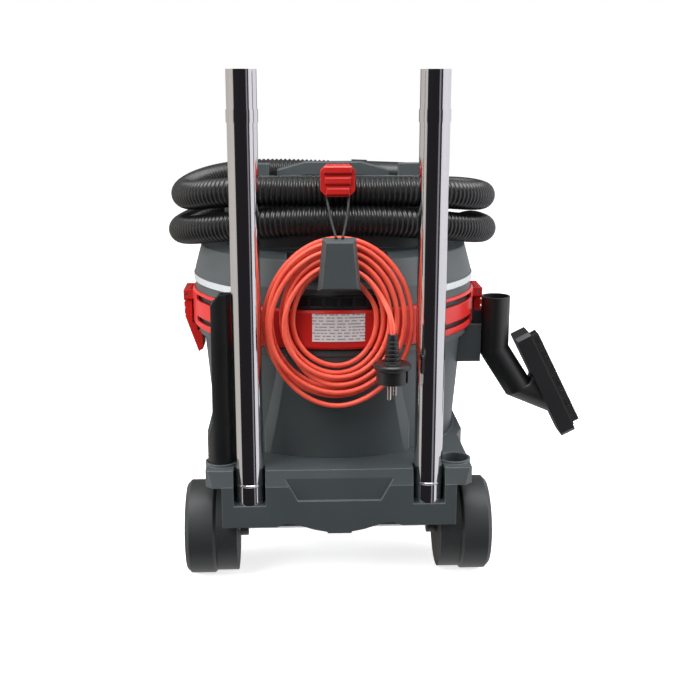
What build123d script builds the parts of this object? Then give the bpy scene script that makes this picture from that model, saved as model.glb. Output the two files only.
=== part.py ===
from build123d import *
from math import ceil, cos, pi, radians, sin, tan
import os

# Wheeled shop vacuum seen from its back. Millimetres.
# The tank axis is X = Y = 0, the floor is Z = 0, +X is the right hand seen from behind, +Y is the front.

# Fits and gaps
RUN = 0.05
FREE = 0.4
SKIN = 0.3

# Tank, a round tapered bin
TANK_RIM_Z = 290.0
TANK_RIM_T = 7.0
TANK_RIM_R = 178.0
TANK_R_TOP = 171.5
TANK_R_DECK = 160.5
TANK_R_FLOOR = 150.0
TANK_FLOOR_Z = 88.0
TANK_WALL = 3.0
GASKET_INSET = 1.0
GASKET_W = 7.5
BACK_PANEL_HALF = 50.0
BACK_PANEL_PROUD = 5.0
BACK_PANEL_SINK = 8.0
BACK_PANEL_RUN = 20.0

# Chassis, the wheeled tray under the tank
DECK_TOP = 152.0
DECK_T = 20.0
DECK_REAR_Y = -212.0
DECK_REAR_HALF = 159.0
DECK_SIDE_HALF = 168.0
DECK_FRONT_Y = 165.0
DECK_FRONT_HALF = 118.0
BAND_SLOPE = 6.0
CORNER_CUT = 9.0
ARCH_REACH = 66.0
ARCH_FLARE = 24.0
NOSE_START_Y = 30.0
NOSE_W = 22.0
BOWL_WALL = 4.5
SKIRT_T = 5.0
SKIRT_HALF = 140.0
SKIRT_LOW = 82.0
SKIRT_MID_LOW = 75.0
TAB_HALF = 15.0
WEB_T = 4.0
STEP_TOP_HALF = 73.0
STEP_LOW_HALF = 52.0
STEP_LOW_Z = 112.0
STEP_DEPTH = 3.0
STEP_EDGE = 2.4

# Steel suction tubes parked at the back
TUBE_X = 107.0
TUBE_Y = -194.0
TUBE_R = 17.0
TUBE_WALL = 1.2
TUBE_MOUTH_R = 16.4
TUBE_MOUTH_DEPTH = 45.0
TUBE_LENGTH = 503.0
TUBE_FLOOR = 109.0
TUBE_SLEEVE_DROP = 43.0
TUBE_SLEEVE_W = 14.0
TUBE_SLEEVE_T = 0.9
TUBE_BEAD_Z = 24.0
TUBE_BEAD_R = 1.6
PARK_GAP = 2.0
PEG_HEIGHT = 30.0
PARK_WALL = 4.0

# Tool sockets on the rear corners of the chassis
SOCKET_X = 141.0
SOCKET_Y = -176.0
SOCKET_R = 16.9
SOCKET_WALL = 2.8
SOCKET_DEPTH = 24.0
SOCKET_LIP = 3.0

# Rear wheels on one through axle
WHEEL_R = 58.0
WHEEL_IN = 148.0
WHEEL_OUT = 187.0
DRUM_R = 55.0
DRUM_IN = 124.0
DISH_R = 45.0
DISH_DEPTH = 9.0
SPOKES = 6
SPOKE_W = 7.0
HUB_R = 15.0
AXLE_R = 5.0
AXLE_Y = -146.0
BRACKET_T = 10.0
BRACKET_R = 13.0
CAP_T = 4.0

# Front castors
CASTOR_X = 104.0
CASTOR_Y = 130.0
CASTOR_R = 25.0
CASTOR_W = 18.0
CASTOR_TRAIL = 16.0
CASTOR_CHEEK = 3.5
CASTOR_STEM_R = 5.5
CASTOR_STEM = 42.0
CASTOR_AXLE_R = 3.0
CASTOR_CROWN = 6.0
CASTOR_BOSS_R = 16.0

# Head: red ring, grey cover and what stands on them
GASKET_T = 3.0
RING_R = 185.0
RING_TOP = 340.0
RING_WALL = 8.0
RING_FLOOR_T = 4.0
RING_EYE_R = 120.0
SLOT_DEPTH = 5.0
COVER_R = 181.0
COVER_WALL = 3.0
COVER_BAND_TOP = 364.0
COVER_SHOULDER_R = 172.0
COVER_SHOULDER_Z = 396.0
COVER_SHELF_R = 160.0
COVER_SHELF_Z = 403.0
TOWER_HALF = 138.0
TOWER_REAR = -112.0
TOWER_FRONT = 142.0
TOWER_CORNER = 62.0
TOWER_TOP = 490.0
TOWER_TILT = 9.0
RIM_W = 7.0
TRAY_DEPTH = 10.0
BAY_HALF = 60.0
BAY_BACK = -138.0
BAY_LOW = 364.5
BAY_TOP = 448.0
TRIM_LOW = 351.0
TRIM_HIGH = 359.0
TRIM_T = 1.8
TRIM_BARE_HALF = 112.0
GRILLE_HALF = 56.0
GRILLE_LOW = 341.5
GRILLE_HIGH = 357.5
GRILLE_T = 3.2
GRILLE_BARS = 6
GRILLE_SLOT_SHARE = 0.84
PLATE_HALF = 31.0
PLATE_LOW = 303.0
PLATE_HIGH = 336.0
PLATE_T = 1.0

# Cord hook, gland and coiled mains lead
HOOK_TOP = 428.0
HOOK_LOW = 367.0
HOOK_TOP_HALF = 19.0
HOOK_LOW_HALF = 25.0
HOOK_BACK_Y = -202.5
HOOK_T = 12.0
HOOK_BEVEL = 20.0
ARM_HALF = 11.0
ARM_TOP = 379.0
CORD_R = 3.0
COIL_Z = 331.0
COIL_X = -1.0
COIL_A = 44.0
COIL_B = 53.2
COIL_STEP_A = 7.75
COIL_STEP_B = 8.5
COIL_OUT_TURNS = 5
COIL_IN_TURNS = 4
COIL_LAYER_Y = -186.5
COIL_LAYER_STEP = 8.0
GLAND_Y = -153.0
GLAND_Z = 388.0
GLAND_LENGTH = 26.0
GLAND_R = 7.0
GLAND_TIP_R = 5.0
LEAD_STRAIGHT = 10.0
LEAD_OVER_ARM = (11.0, -179.0, 384.6)
LEAD_TAIL = (45.0, -201.5, 366.0)

# Plug on the end of the mains lead
PLUG_X = 60.0
PLUG_Y = -221.5
PLUG_TOP = 320.0
PLUG_FLANGE_Z = 284.0
PLUG_BODY_Z = 263.0
PLUG_FLANGE_R = 21.8
PLUG_BODY_R = 18.2
RELIEF_TOP_R = 5.6
RELIEF_LOW_R = 10.0
RELIEF_RIBS = 6
PIN_R = 2.4
PIN_LENGTH = 19.0
PIN_SPACING = 19.0
PIN_TURN = 65.0

# Suction hose wound round the head
HOSE_R = 17.75
HOSE_ROOT_R = 15.6
HOSE_BORE_R = 14.4
HOSE_RIBS = 190
HOSE_TURN_POINTS = 16
CUFF_R = 20.0
CUFF_LENGTH = 75.0
CUFF_COLLAR = 22.0
CUFF_BORE_R = 16.0
INLET_Z = 232.0
INLET_BORE_R = 21.0
INLET_FLANGE_R = 34.0
INLET_REACH = 6.0
ELBOW_R = 20.6

# Elastic strap and its clip at the back of the lid
CLIP_HALF = 20.0
CLIP_BACK = -165.2
CLIP_T = 9.0
CLIP_LOW = 470.0
CLIP_TOP = 507.0
CLIP_CUT = 7.0
CLIP_RIDGES = 3
CLIP_RIDGE_T = 3.0
CLIP_FLARE = 1.5
CLIP_GROOVE = 1.6
STRAP_R = 1.6
STRAP_TOP_X = 13.0
STRAP_LOW_X = 3.5

# Handle, side lugs and filter button on the lid
HANDLE_HALF = 72.0
HANDLE_Y = 8.0
HANDLE_TOP = 498.0
HANDLE_W = 26.0
HANDLE_T = 16.0
HANDLE_LEG = 18.0
HAND_POCKET = 30.0
LUG_IN = 82.0
LUG_OUT = 122.0
LUG_Y = -40.0
LUG_T = 16.0
LUG_TOP = 499.0
BUTTON_Y = -64.0
BUTTON_R = 22.0
BUTTON_RISE = 12.0
BUTTON_TRAVEL = 8.0
BUTTON_COLLAR = 4.0
BUTTON_STEM_R = 7.0

# Control panel on the front of the head
PANEL_HALF = 84.0
PANEL_LOW = 344.0
PANEL_HIGH = 397.0
PANEL_Y = 188.0
PANEL_T = 12.0
KNOB_X = -52.0
KNOB_R = 18.0
DIAL_X = 54.0
DIAL_R = 14.0
KNOB_T = 15.0
SHAFT_R = 4.0
SOCKET_FACE_R = 19.0
FLAP_HALF = 24.0
FLAP_T = 3.5
FLAP_PIN_R = 1.5

# Latches that hold the head on the tank
LATCH_HALF = 21.0
LATCH_PIN_OUT = 6.5
LATCH_PIN_X = RING_R + LATCH_PIN_OUT
LATCH_PIN_Z = 330.0
LATCH_PIN_R = 2.0
LATCH_EAR_T = 4.0
LATCH_TIP_Z = 252.0

# Motor, fan and filter inside
SHAFT_MOTOR_R = 5.0
ROTOR_R = 33.0
STATOR_R = 52.0
MOTOR_LOW = 336.0
MOTOR_HIGH = 420.0
FAN_R = 66.0
FAN_T = 10.0
FAN_BLADES = 7
FAN_CASE_R = 74.0
FAN_CASE_WALL = 3.0
FAN_EYE_R = 22.0
BEARING_T = 8.0
BEARING_R = 13.0
FILTER_R = 74.0
FILTER_ROOT_R = 62.0
FILTER_PLEATS = 36
FILTER_LENGTH = 118.0
CAGE_R = 60.0
CAGE_WALL = 2.5
CAGE_SLOTS = 10
CAP_FILTER_T = 8.0
FLOAT_R = 20.0
FLOAT_H = 26.0
FLOAT_TRAVEL = 30.0

# Tools carried on the machine
CREVICE_R = 16.4
CREVICE_TOP = 361.0
CREVICE_FLARE_LOW = 182.0
CREVICE_FLARE_HIGH = 207.0
CREVICE_FLAT = 7.5
CREVICE_WALL = 2.0
NOZZLE_X = 210.0
NOZZLE_Y = -47.0
NOZZLE_R = 18.6
NOZZLE_WALL = 2.2
NOZZLE_TOP = 329.0
NOZZLE_BEND_Z = 258.0
NOZZLE_DROP = 62.0
NOZZLE_LEAN = 33.0
BRUSH_LEAN = 27.0
BRUSH_X = 268.0
BRUSH_Z = 208.0
BRUSH_LENGTH = 150.0
BRUSH_W = 40.0
BRUSH_T = 20.0
BRISTLE_LENGTH = 9.0
BRISTLE_ROWS = 6
BRISTLE_COLUMNS = 60
BRISTLE_W = 1.0
BRISTLE_BED = 2.0
HOLDER_T = 13.0
HOLDER_OUT = 191.0
HOLDER_LOW = 243.0
HOLDER_HIGH = 293.0
KEY_T = 6.0
KEY_X = 180.6
KEY_LENGTH = 7.0
KEY_DROP = 36.0
KEY_BRIDGE = 18.0

TANK_SHOULDER = TANK_RIM_Z - TANK_RIM_T
HEAD_LOW = TANK_RIM_Z + GASKET_T
DECK_LOW = DECK_TOP - DECK_T
RING_FLOOR_TOP = HEAD_LOW + RING_FLOOR_T


def cylinder_z(r, z0, z1, x=0.0, y=0.0):
    """Upright round bar."""
    return Pos(x, y, (z0 + z1) / 2) * Cylinder(r, z1 - z0)


def ring_z(r_out, r_in, z0, z1, x=0.0, y=0.0):
    """Upright round ring."""
    return cylinder_z(r_out, z0, z1, x, y) - cylinder_z(r_in, z0 - 1, z1 + 1, x, y)


def block(x0, x1, y0, y1, z0, z1):
    """Box between two corners."""
    return Pos((x0 + x1) / 2, (y0 + y1) / 2, (z0 + z1) / 2) * Box(x1 - x0, y1 - y0, z1 - z0)


def bar(r, start, end):
    """Round bar from one point to another."""
    a, b = Vector(*start), Vector(*end)
    return Plane(a, z_dir=b - a) * Pos(0, 0, (b - a).length / 2) * Cylinder(r, (b - a).length)


def turned(*profile):
    """Solid of revolution about the tank axis from (radius, height) points."""
    return revolve(make_face(Polyline(*[(r, 0, z) for r, z in profile], close=True)), Axis.Z)


def prism_z(points, z0, z1):
    """Plan outline raised from z0 to z1."""
    return extrude(make_face(Polyline(*[(x, y, z0) for x, y in points], close=True)), z1 - z0, dir=(0, 0, 1))


def prism_y(points, y0, y1):
    """Outline of (x, z) points carried along Y from y0 to y1."""
    return extrude(make_face(Polyline(*[(x, y0, z) for x, z in points], close=True)), y1 - y0, dir=(0, 1, 0))


def mirror_x(shape):
    return mirror(shape, Plane.YZ)


def tank_radius(z):
    """Outer radius of the tank wall at a height."""
    if z >= DECK_TOP:
        share = (z - DECK_TOP) / (TANK_SHOULDER - DECK_TOP)
        return TANK_R_DECK + share * (TANK_R_TOP - TANK_R_DECK)
    share = (z - TANK_FLOOR_Z) / (DECK_TOP - TANK_FLOOR_Z)
    return TANK_R_FLOOR + share * (TANK_R_DECK - TANK_R_FLOOR)


def tank_form(grow, low, high):
    """Tapered tank wall grown by a margin, between two heights."""
    heights = [low] + [z for z in (DECK_TOP,) if low < z < high] + [high]
    wall = [(tank_radius(z) + grow, z) for z in heights]
    return turned((0, low), *wall, (0, high))


def back_panel(grow):
    """Raised panel down the back of the tank, with sloped sides, grown by a margin."""
    reach = TANK_R_TOP + BACK_PANEL_PROUD
    half = BACK_PANEL_HALF + 2 * grow
    run = BACK_PANEL_RUN
    trapezoid = [(-half + run, -reach - run), (half - run, -reach - run),
                 (half + 2 * run, -reach + 2 * run), (-half - 2 * run, -reach + 2 * run)]
    panel = tank_form(BACK_PANEL_PROUD + grow, DECK_TOP - BACK_PANEL_SINK - grow, TANK_SHOULDER)
    return panel & prism_z(trapezoid, TANK_FLOOR_Z, TANK_SHOULDER)


# Tank
def make_tank():
    outer = tank_form(0, TANK_FLOOR_Z, TANK_SHOULDER)
    outer += cylinder_z(TANK_RIM_R, TANK_SHOULDER, TANK_RIM_Z) + back_panel(0)
    inner = tank_form(-TANK_WALL, TANK_FLOOR_Z + TANK_WALL, TANK_SHOULDER)
    inner += cylinder_z(TANK_R_TOP - TANK_WALL, TANK_SHOULDER - 0.01, TANK_RIM_Z + 1)
    shell = outer - inner
    shell -= bar(INLET_BORE_R + TANK_WALL + FREE, (0, 100, INLET_Z), (0, 220, INLET_Z))
    return shell


def make_holder():
    """Plate on the tank's right side with a slot that takes the brush nozzle's key."""
    wall = tank_radius(HOLDER_LOW)
    plate = block(wall - HOLDER_T, HOLDER_OUT, NOZZLE_Y - HOLDER_T / 2, NOZZLE_Y + HOLDER_T / 2,
                  HOLDER_LOW, HOLDER_HIGH)
    plate -= tank_form(0, TANK_FLOOR_Z, TANK_SHOULDER)
    plate -= cylinder_z(TANK_RIM_R + SKIN, TANK_SHOULDER, HEAD_LOW)
    plate -= cylinder_z(RING_R + SKIN, HEAD_LOW, RING_TOP)
    half_key = KEY_LENGTH / 2 + FREE
    slot = block(KEY_X + KEY_LENGTH / 2 - half_key, KEY_X + KEY_LENGTH / 2 + half_key,
                 NOZZLE_Y - KEY_T / 2 - FREE, NOZZLE_Y + KEY_T / 2 + FREE, HOLDER_LOW - 1, HOLDER_HIGH + 60)
    return plate - slot


def make_inlet():
    """Flanged suction inlet on the front of the tank."""
    face = tank_radius(INLET_Z) + INLET_REACH
    spigot = bar(INLET_BORE_R + TANK_WALL, (0, face - 30, INLET_Z), (0, face, INLET_Z))
    flange = bar(INLET_FLANGE_R, (0, face - 30, INLET_Z), (0, face, INLET_Z))
    flange -= tank_form(SKIN, TANK_FLOOR_Z, TANK_SHOULDER)
    bore = bar(INLET_BORE_R, (0, face - 40, INLET_Z), (0, face + 1, INLET_Z))
    return spigot + flange - bore


# Chassis
def deck_outline():
    half = [(DECK_REAR_HALF - CORNER_CUT, DECK_REAR_Y), (DECK_REAR_HALF, DECK_REAR_Y + CORNER_CUT),
            (DECK_REAR_HALF, AXLE_Y + ARCH_REACH), (DECK_SIDE_HALF, AXLE_Y + ARCH_REACH + ARCH_FLARE),
            (DECK_SIDE_HALF, NOSE_START_Y), (DECK_FRONT_HALF + NOSE_W, DECK_FRONT_Y - 2 * NOSE_W),
            (DECK_FRONT_HALF, DECK_FRONT_Y)]
    return half + [(-x, y) for x, y in reversed(half)]


def skirt_outline():
    """Rear face of the chassis under the band, with its bulged lower edge and tab."""
    rise = SKIRT_LOW + 4
    half = [(SKIRT_HALF, DECK_LOW + 1), (SKIRT_HALF, SKIRT_LOW), (STEP_TOP_HALF + 2, SKIRT_LOW),
            (STEP_TOP_HALF - 8, rise), (STEP_LOW_HALF, rise - 1), (2 * TAB_HALF, SKIRT_MID_LOW + 3),
            (TAB_HALF, SKIRT_MID_LOW), (TAB_HALF - 1, SKIRT_MID_LOW - 2)]
    return half + [(-x, z) for x, z in reversed(half)]


def make_chassis():
    tray = prism_z(deck_outline(), DECK_LOW, DECK_TOP)
    wedge = [(DECK_REAR_Y - 1, DECK_LOW), (DECK_REAR_Y, DECK_LOW),
             (DECK_REAR_Y + BAND_SLOPE, DECK_TOP + 0.01), (DECK_REAR_Y - 1, DECK_TOP + 0.01)]
    tray -= extrude(make_face(Polyline(*[(-200, y, z) for y, z in wedge], close=True)), 400, dir=(1, 0, 0))
    tray += prism_y(skirt_outline(), DECK_REAR_Y, DECK_REAR_Y + SKIRT_T)
    for side in (-1, 1):
        tray += cylinder_z(TUBE_R + PARK_GAP + PARK_WALL, TUBE_FLOOR - PARK_WALL, DECK_LOW + 1,
                           side * TUBE_X, TUBE_Y)
        tray += cylinder_z(SOCKET_R + SOCKET_WALL, DECK_TOP - SOCKET_DEPTH, DECK_TOP + SOCKET_LIP,
                           side * SOCKET_X, SOCKET_Y)
        tray += cylinder_z(CASTOR_BOSS_R, castor_crown_top() + 1, DECK_TOP, side * CASTOR_X, CASTOR_Y)
        for web in (STEP_LOW_HALF, DRUM_IN - 6 - BRACKET_T):
            x0, x1 = sorted((side * web, side * (web + WEB_T)))
            tray += block(x0, x1, DECK_REAR_Y + 1, AXLE_Y + 40, SKIRT_LOW + 8, DECK_LOW + 1)
        x0, x1 = sorted((side * (DRUM_IN - 2 - BRACKET_T), side * (DRUM_IN - 2)))
        tray += bar(BRACKET_R, (x0, AXLE_Y, WHEEL_R), (x1, AXLE_Y, WHEEL_R))
        tray += block(x0, x1, AXLE_Y - BRACKET_R, AXLE_Y + BRACKET_R, WHEEL_R, DECK_LOW + 1)
    tray -= block(-400, 400, DECK_REAR_Y - 100, DECK_REAR_Y, 0, DECK_TOP + 50)
    tray -= tank_form(BOWL_WALL + SKIN, TANK_FLOOR_Z - BOWL_WALL, DECK_TOP + 1)
    tray -= back_panel(FREE)
    step = [(-STEP_TOP_HALF, DECK_TOP + 1), (-STEP_LOW_HALF, STEP_LOW_Z), (STEP_LOW_HALF, STEP_LOW_Z),
            (STEP_TOP_HALF, DECK_TOP + 1)]
    inset = [(-STEP_TOP_HALF + STEP_EDGE, DECK_TOP + 1), (-STEP_LOW_HALF + STEP_EDGE, STEP_LOW_Z + STEP_EDGE),
             (STEP_LOW_HALF - STEP_EDGE, STEP_LOW_Z + STEP_EDGE), (STEP_TOP_HALF - STEP_EDGE, DECK_TOP + 1)]
    tray -= prism_y(inset, DECK_REAR_Y - 1, DECK_REAR_Y + STEP_DEPTH)
    frame = prism_y(step, DECK_REAR_Y, DECK_REAR_Y + STEP_DEPTH)
    frame -= prism_y(inset, DECK_REAR_Y - 1, DECK_REAR_Y + 10)
    tray += frame & block(-200, 200, DECK_REAR_Y, DECK_REAR_Y + 10, STEP_LOW_Z, DECK_LOW)
    axle = bar(AXLE_R + RUN, (-DRUM_IN, AXLE_Y, WHEEL_R), (DRUM_IN, AXLE_Y, WHEEL_R))
    tray -= axle
    for side in (-1, 1):
        x = side * TUBE_X
        pocket = cylinder_z(TUBE_R + PARK_GAP, TUBE_FLOOR, DECK_TOP + 9, x, TUBE_Y)
        pocket += block(x - TUBE_R - PARK_GAP, x + TUBE_R + PARK_GAP, DECK_REAR_Y - 9, TUBE_Y,
                        TUBE_FLOOR, DECK_TOP + 9)
        tray -= pocket
        tray += cylinder_z(TUBE_R - TUBE_WALL - FREE, TUBE_FLOOR - 1, TUBE_FLOOR + PEG_HEIGHT, x, TUBE_Y)
        tray -= cylinder_z(SOCKET_R, DECK_TOP - SOCKET_DEPTH + 3, DECK_TOP + 9, side * SOCKET_X, SOCKET_Y)
        tray -= cylinder_z(CASTOR_STEM_R + RUN, 0, castor_crown_top() + CASTOR_STEM + 1,
                           side * CASTOR_X, CASTOR_Y)
    return tray


def make_tank_bowl():
    """Bowl in the middle of the chassis that the tank stands in."""
    bowl = tank_form(BOWL_WALL, TANK_FLOOR_Z - BOWL_WALL, DECK_TOP)
    bowl -= tank_form(FREE, TANK_FLOOR_Z, DECK_TOP + 1)
    bowl -= back_panel(FREE)
    return bowl - block(-400, 400, DECK_REAR_Y - 100, DECK_REAR_Y, 0, DECK_TOP + 50)


def make_rear_wheel(side):
    """Wide moulded wheel with a stepped inner drum, dished and ribbed on its outer face."""
    rim = 5.0
    start, end = (DRUM_IN, AXLE_Y, WHEEL_R), (WHEEL_IN + 1, AXLE_Y, WHEEL_R)
    wheel = bar(DRUM_R, start, end)
    tread = bar(WHEEL_R, (WHEEL_IN, AXLE_Y, WHEEL_R), (WHEEL_OUT, AXLE_Y, WHEEL_R))
    wheel += chamfer(tread.edges().filter_by(GeomType.CIRCLE), rim)
    wheel -= bar(DISH_R, (WHEEL_OUT - DISH_DEPTH, AXLE_Y, WHEEL_R), (WHEEL_OUT + 1, AXLE_Y, WHEEL_R))
    spoke = block(WHEEL_OUT - DISH_DEPTH - 1, WHEEL_OUT - 2, -SPOKE_W / 2, SPOKE_W / 2,
                  HUB_R - 0.5, DISH_R + 1)
    for i in range(SPOKES):
        wheel += Pos(0, AXLE_Y, WHEEL_R) * Rot(360 / SPOKES * i, 0, 0) * spoke
    wheel += bar(HUB_R, (WHEEL_OUT - DISH_DEPTH - 1, AXLE_Y, WHEEL_R), (WHEEL_OUT - CAP_T, AXLE_Y, WHEEL_R))
    wheel -= bar(AXLE_R + RUN, (0, AXLE_Y, WHEEL_R), (WHEEL_OUT + 1, AXLE_Y, WHEEL_R))
    return wheel if side > 0 else mirror_x(wheel)


def make_hub_cap(side):
    cap = bar(HUB_R - 1, (WHEEL_OUT - CAP_T, AXLE_Y, WHEEL_R), (WHEEL_OUT, AXLE_Y, WHEEL_R))
    cap = chamfer(cap.edges().filter_by(GeomType.CIRCLE).sort_by(Axis.X)[-1], 1.5)
    return cap if side > 0 else mirror_x(cap)


def make_rear_axle():
    reach = WHEEL_OUT - CAP_T - SKIN
    return bar(AXLE_R, (-reach, AXLE_Y, WHEEL_R), (reach, AXLE_Y, WHEEL_R))


def castor_crown_top():
    return 2 * CASTOR_R + 4 + CASTOR_CROWN


def make_castor_fork(side):
    """Fork with a crown, two cheeks and the stem that swivels in the chassis boss."""
    x, top = side * CASTOR_X, castor_crown_top()
    inner = CASTOR_W / 2 + 1
    outer = inner + CASTOR_CHEEK
    fork = cylinder_z(outer + 3, top - CASTOR_CROWN, top, x, CASTOR_Y)
    fork += block(x - outer, x + outer, CASTOR_Y - CASTOR_TRAIL - 8, CASTOR_Y, top - CASTOR_CROWN, top)
    for cheek in (-1, 1):
        x0, x1 = sorted((x + cheek * inner, x + cheek * outer))
        outline = [(CASTOR_Y - CASTOR_TRAIL - 8, CASTOR_R - 2), (CASTOR_Y - CASTOR_TRAIL + 8, CASTOR_R - 2),
                   (CASTOR_Y + 12, top - 1), (CASTOR_Y - CASTOR_TRAIL - 8, top - 1)]
        face = make_face(Polyline(*[(x0, y, z) for y, z in outline], close=True))
        fork += extrude(face, x1 - x0, dir=(1, 0, 0))
        fork += bar(8, (x0, CASTOR_Y - CASTOR_TRAIL, CASTOR_R), (x1, CASTOR_Y - CASTOR_TRAIL, CASTOR_R))
    fork += cylinder_z(CASTOR_STEM_R, top - 1, top + CASTOR_STEM, x, CASTOR_Y)
    axle_y = CASTOR_Y - CASTOR_TRAIL
    return fork - bar(CASTOR_AXLE_R, (x - 40, axle_y, CASTOR_R), (x + 40, axle_y, CASTOR_R))


def make_castor_axle(side):
    x, y = side * CASTOR_X, CASTOR_Y - CASTOR_TRAIL
    reach = CASTOR_W / 2 + 1 + CASTOR_CHEEK
    return bar(CASTOR_AXLE_R, (x - reach, y, CASTOR_R), (x + reach, y, CASTOR_R))


def make_castor_wheel(side):
    x, y = side * CASTOR_X, CASTOR_Y - CASTOR_TRAIL
    wheel = bar(CASTOR_R, (x - CASTOR_W / 2, y, CASTOR_R), (x + CASTOR_W / 2, y, CASTOR_R))
    wheel = chamfer(wheel.edges().filter_by(GeomType.CIRCLE), 2.5)
    return wheel - bar(CASTOR_AXLE_R + RUN, (x - 40, y, CASTOR_R), (x + 40, y, CASTOR_R))


# Head ring, cover and trim
def wedge_sector(start, end, r, z0, z1):
    """Pie slice between two bearings in degrees from +X."""
    steps = [start + (end - start) * i / 8 for i in range(9)]
    return prism_z([(0, 0)] + [(r * cos(radians(a)), r * sin(radians(a))) for a in steps], z0, z1)


def make_head_ring():
    """Red ring with a floor that seats on the tank gasket and vent slots on its four quarters."""
    ring = turned((RING_EYE_R, HEAD_LOW), (RING_R - 2, HEAD_LOW), (RING_R, HEAD_LOW + 3),
                  (RING_R, RING_TOP - 3), (RING_R - 2, RING_TOP), (RING_R - RING_WALL, RING_TOP),
                  (RING_R - RING_WALL, RING_FLOOR_TOP), (RING_EYE_R, RING_FLOOR_TOP))
    for low, high in ((HEAD_LOW + 9, HEAD_LOW + 16), (RING_TOP - 11, RING_TOP - 3)):
        slot = ring_z(RING_R + 1, RING_R - SLOT_DEPTH, low, high)
        for start in (198, 308, 20, 130):
            ring -= slot & wedge_sector(start, start + 34, 400, low - 1, high + 1)
    for side in (-1, 1):
        for ear in (-1, 1):
            y0, y1 = sorted((ear * (LATCH_HALF + SKIN), ear * (LATCH_HALF + SKIN + LATCH_EAR_T)))
            lug = block(RING_R - 6, LATCH_PIN_X + 4.5, y0, y1, LATCH_PIN_Z - 6, LATCH_PIN_Z + 6)
            ring += lug if side > 0 else mirror_x(lug)
        pin = bar(LATCH_PIN_R, (LATCH_PIN_X, -60, LATCH_PIN_Z), (LATCH_PIN_X, 60, LATCH_PIN_Z))
        ring -= pin if side > 0 else mirror_x(pin)
    return ring


def make_latch(side):
    """Bent lever that hooks under the tank rim and tapers to a finger tip."""
    hook = tank_radius(TANK_SHOULDER - 4) + 2.0
    clear = RING_R + 0.8
    lever = [(clear, LATCH_PIN_Z + 2), (clear + 3, LATCH_PIN_Z + 5), (LATCH_PIN_X + 5, LATCH_PIN_Z + 5),
             (LATCH_PIN_X + 4, HEAD_LOW + 8),
             (tank_radius(LATCH_TIP_Z) + 10, LATCH_TIP_Z), (tank_radius(LATCH_TIP_Z) + 4, LATCH_TIP_Z + 4),
             (hook, TANK_SHOULDER - 8), (hook, TANK_SHOULDER - 2), (TANK_RIM_R + 1.5, TANK_SHOULDER - 2),
             (TANK_RIM_R + 1.5, HEAD_LOW - 5), (clear, HEAD_LOW - 1)]
    latch = prism_y(lever, -LATCH_HALF, LATCH_HALF)
    for i in range(3):
        z = HEAD_LOW + 8 + 9 * i
        latch -= block(LATCH_PIN_X + 3.2, LATCH_PIN_X + 9, -LATCH_HALF - 1, LATCH_HALF + 1, z, z + 2.5)
    latch -= bar(LATCH_PIN_R + RUN, (LATCH_PIN_X, -60, LATCH_PIN_Z), (LATCH_PIN_X, 60, LATCH_PIN_Z))
    return latch if side > 0 else mirror_x(latch)


def make_latch_pin(side):
    reach = LATCH_HALF + SKIN + LATCH_EAR_T
    pin = bar(LATCH_PIN_R, (LATCH_PIN_X, -reach, LATCH_PIN_Z), (LATCH_PIN_X, reach, LATCH_PIN_Z))
    return pin if side > 0 else mirror_x(pin)


def tower_outline(inset):
    """Rounded rectangle of the hose tower seen from above, drawn in by a margin."""
    width = 2 * (TOWER_HALF - inset)
    depth = TOWER_FRONT - TOWER_REAR - 2 * inset
    return Pos(0, (TOWER_FRONT + TOWER_REAR) / 2) * RectangleRounded(width, depth, TOWER_CORNER - inset)


def tray_height(y, sink=0.0):
    """Height of the tilted lid top at a depth, lowered by a margin."""
    return TOWER_TOP - sink - (y - TOWER_REAR) * tan(radians(TOWER_TILT))


def under_lid(sink):
    """Everything below the tilted lid plane."""
    far, low = 260.0, RING_TOP - 20
    side = [(-far, low), (far, low), (far, tray_height(far, sink)), (-far, tray_height(-far, sink))]
    return extrude(make_face(Polyline(*[(-far, y, z) for y, z in side], close=True)), 2 * far, dir=(1, 0, 0))


def dome(inset):
    """Round lower part of the cover, drawn in by a margin."""
    low = RING_TOP if inset == 0 else RING_TOP - 1
    return turned((0, low), (COVER_R - inset, low), (COVER_R - inset, COVER_BAND_TOP - inset / 2),
                  (COVER_SHOULDER_R - inset, COVER_SHOULDER_Z - inset / 2),
                  (COVER_SHELF_R - inset, COVER_SHELF_Z - inset), (0, COVER_SHELF_Z - inset))


def hand_pocket(grow, top):
    low = tray_height(HANDLE_Y, TRAY_DEPTH) - HAND_POCKET - grow
    reach = HANDLE_HALF - HANDLE_LEG - 2 + grow
    return block(-reach, reach, HANDLE_Y - 34 - grow, HANDLE_Y + 34 + grow, low, top)


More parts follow.
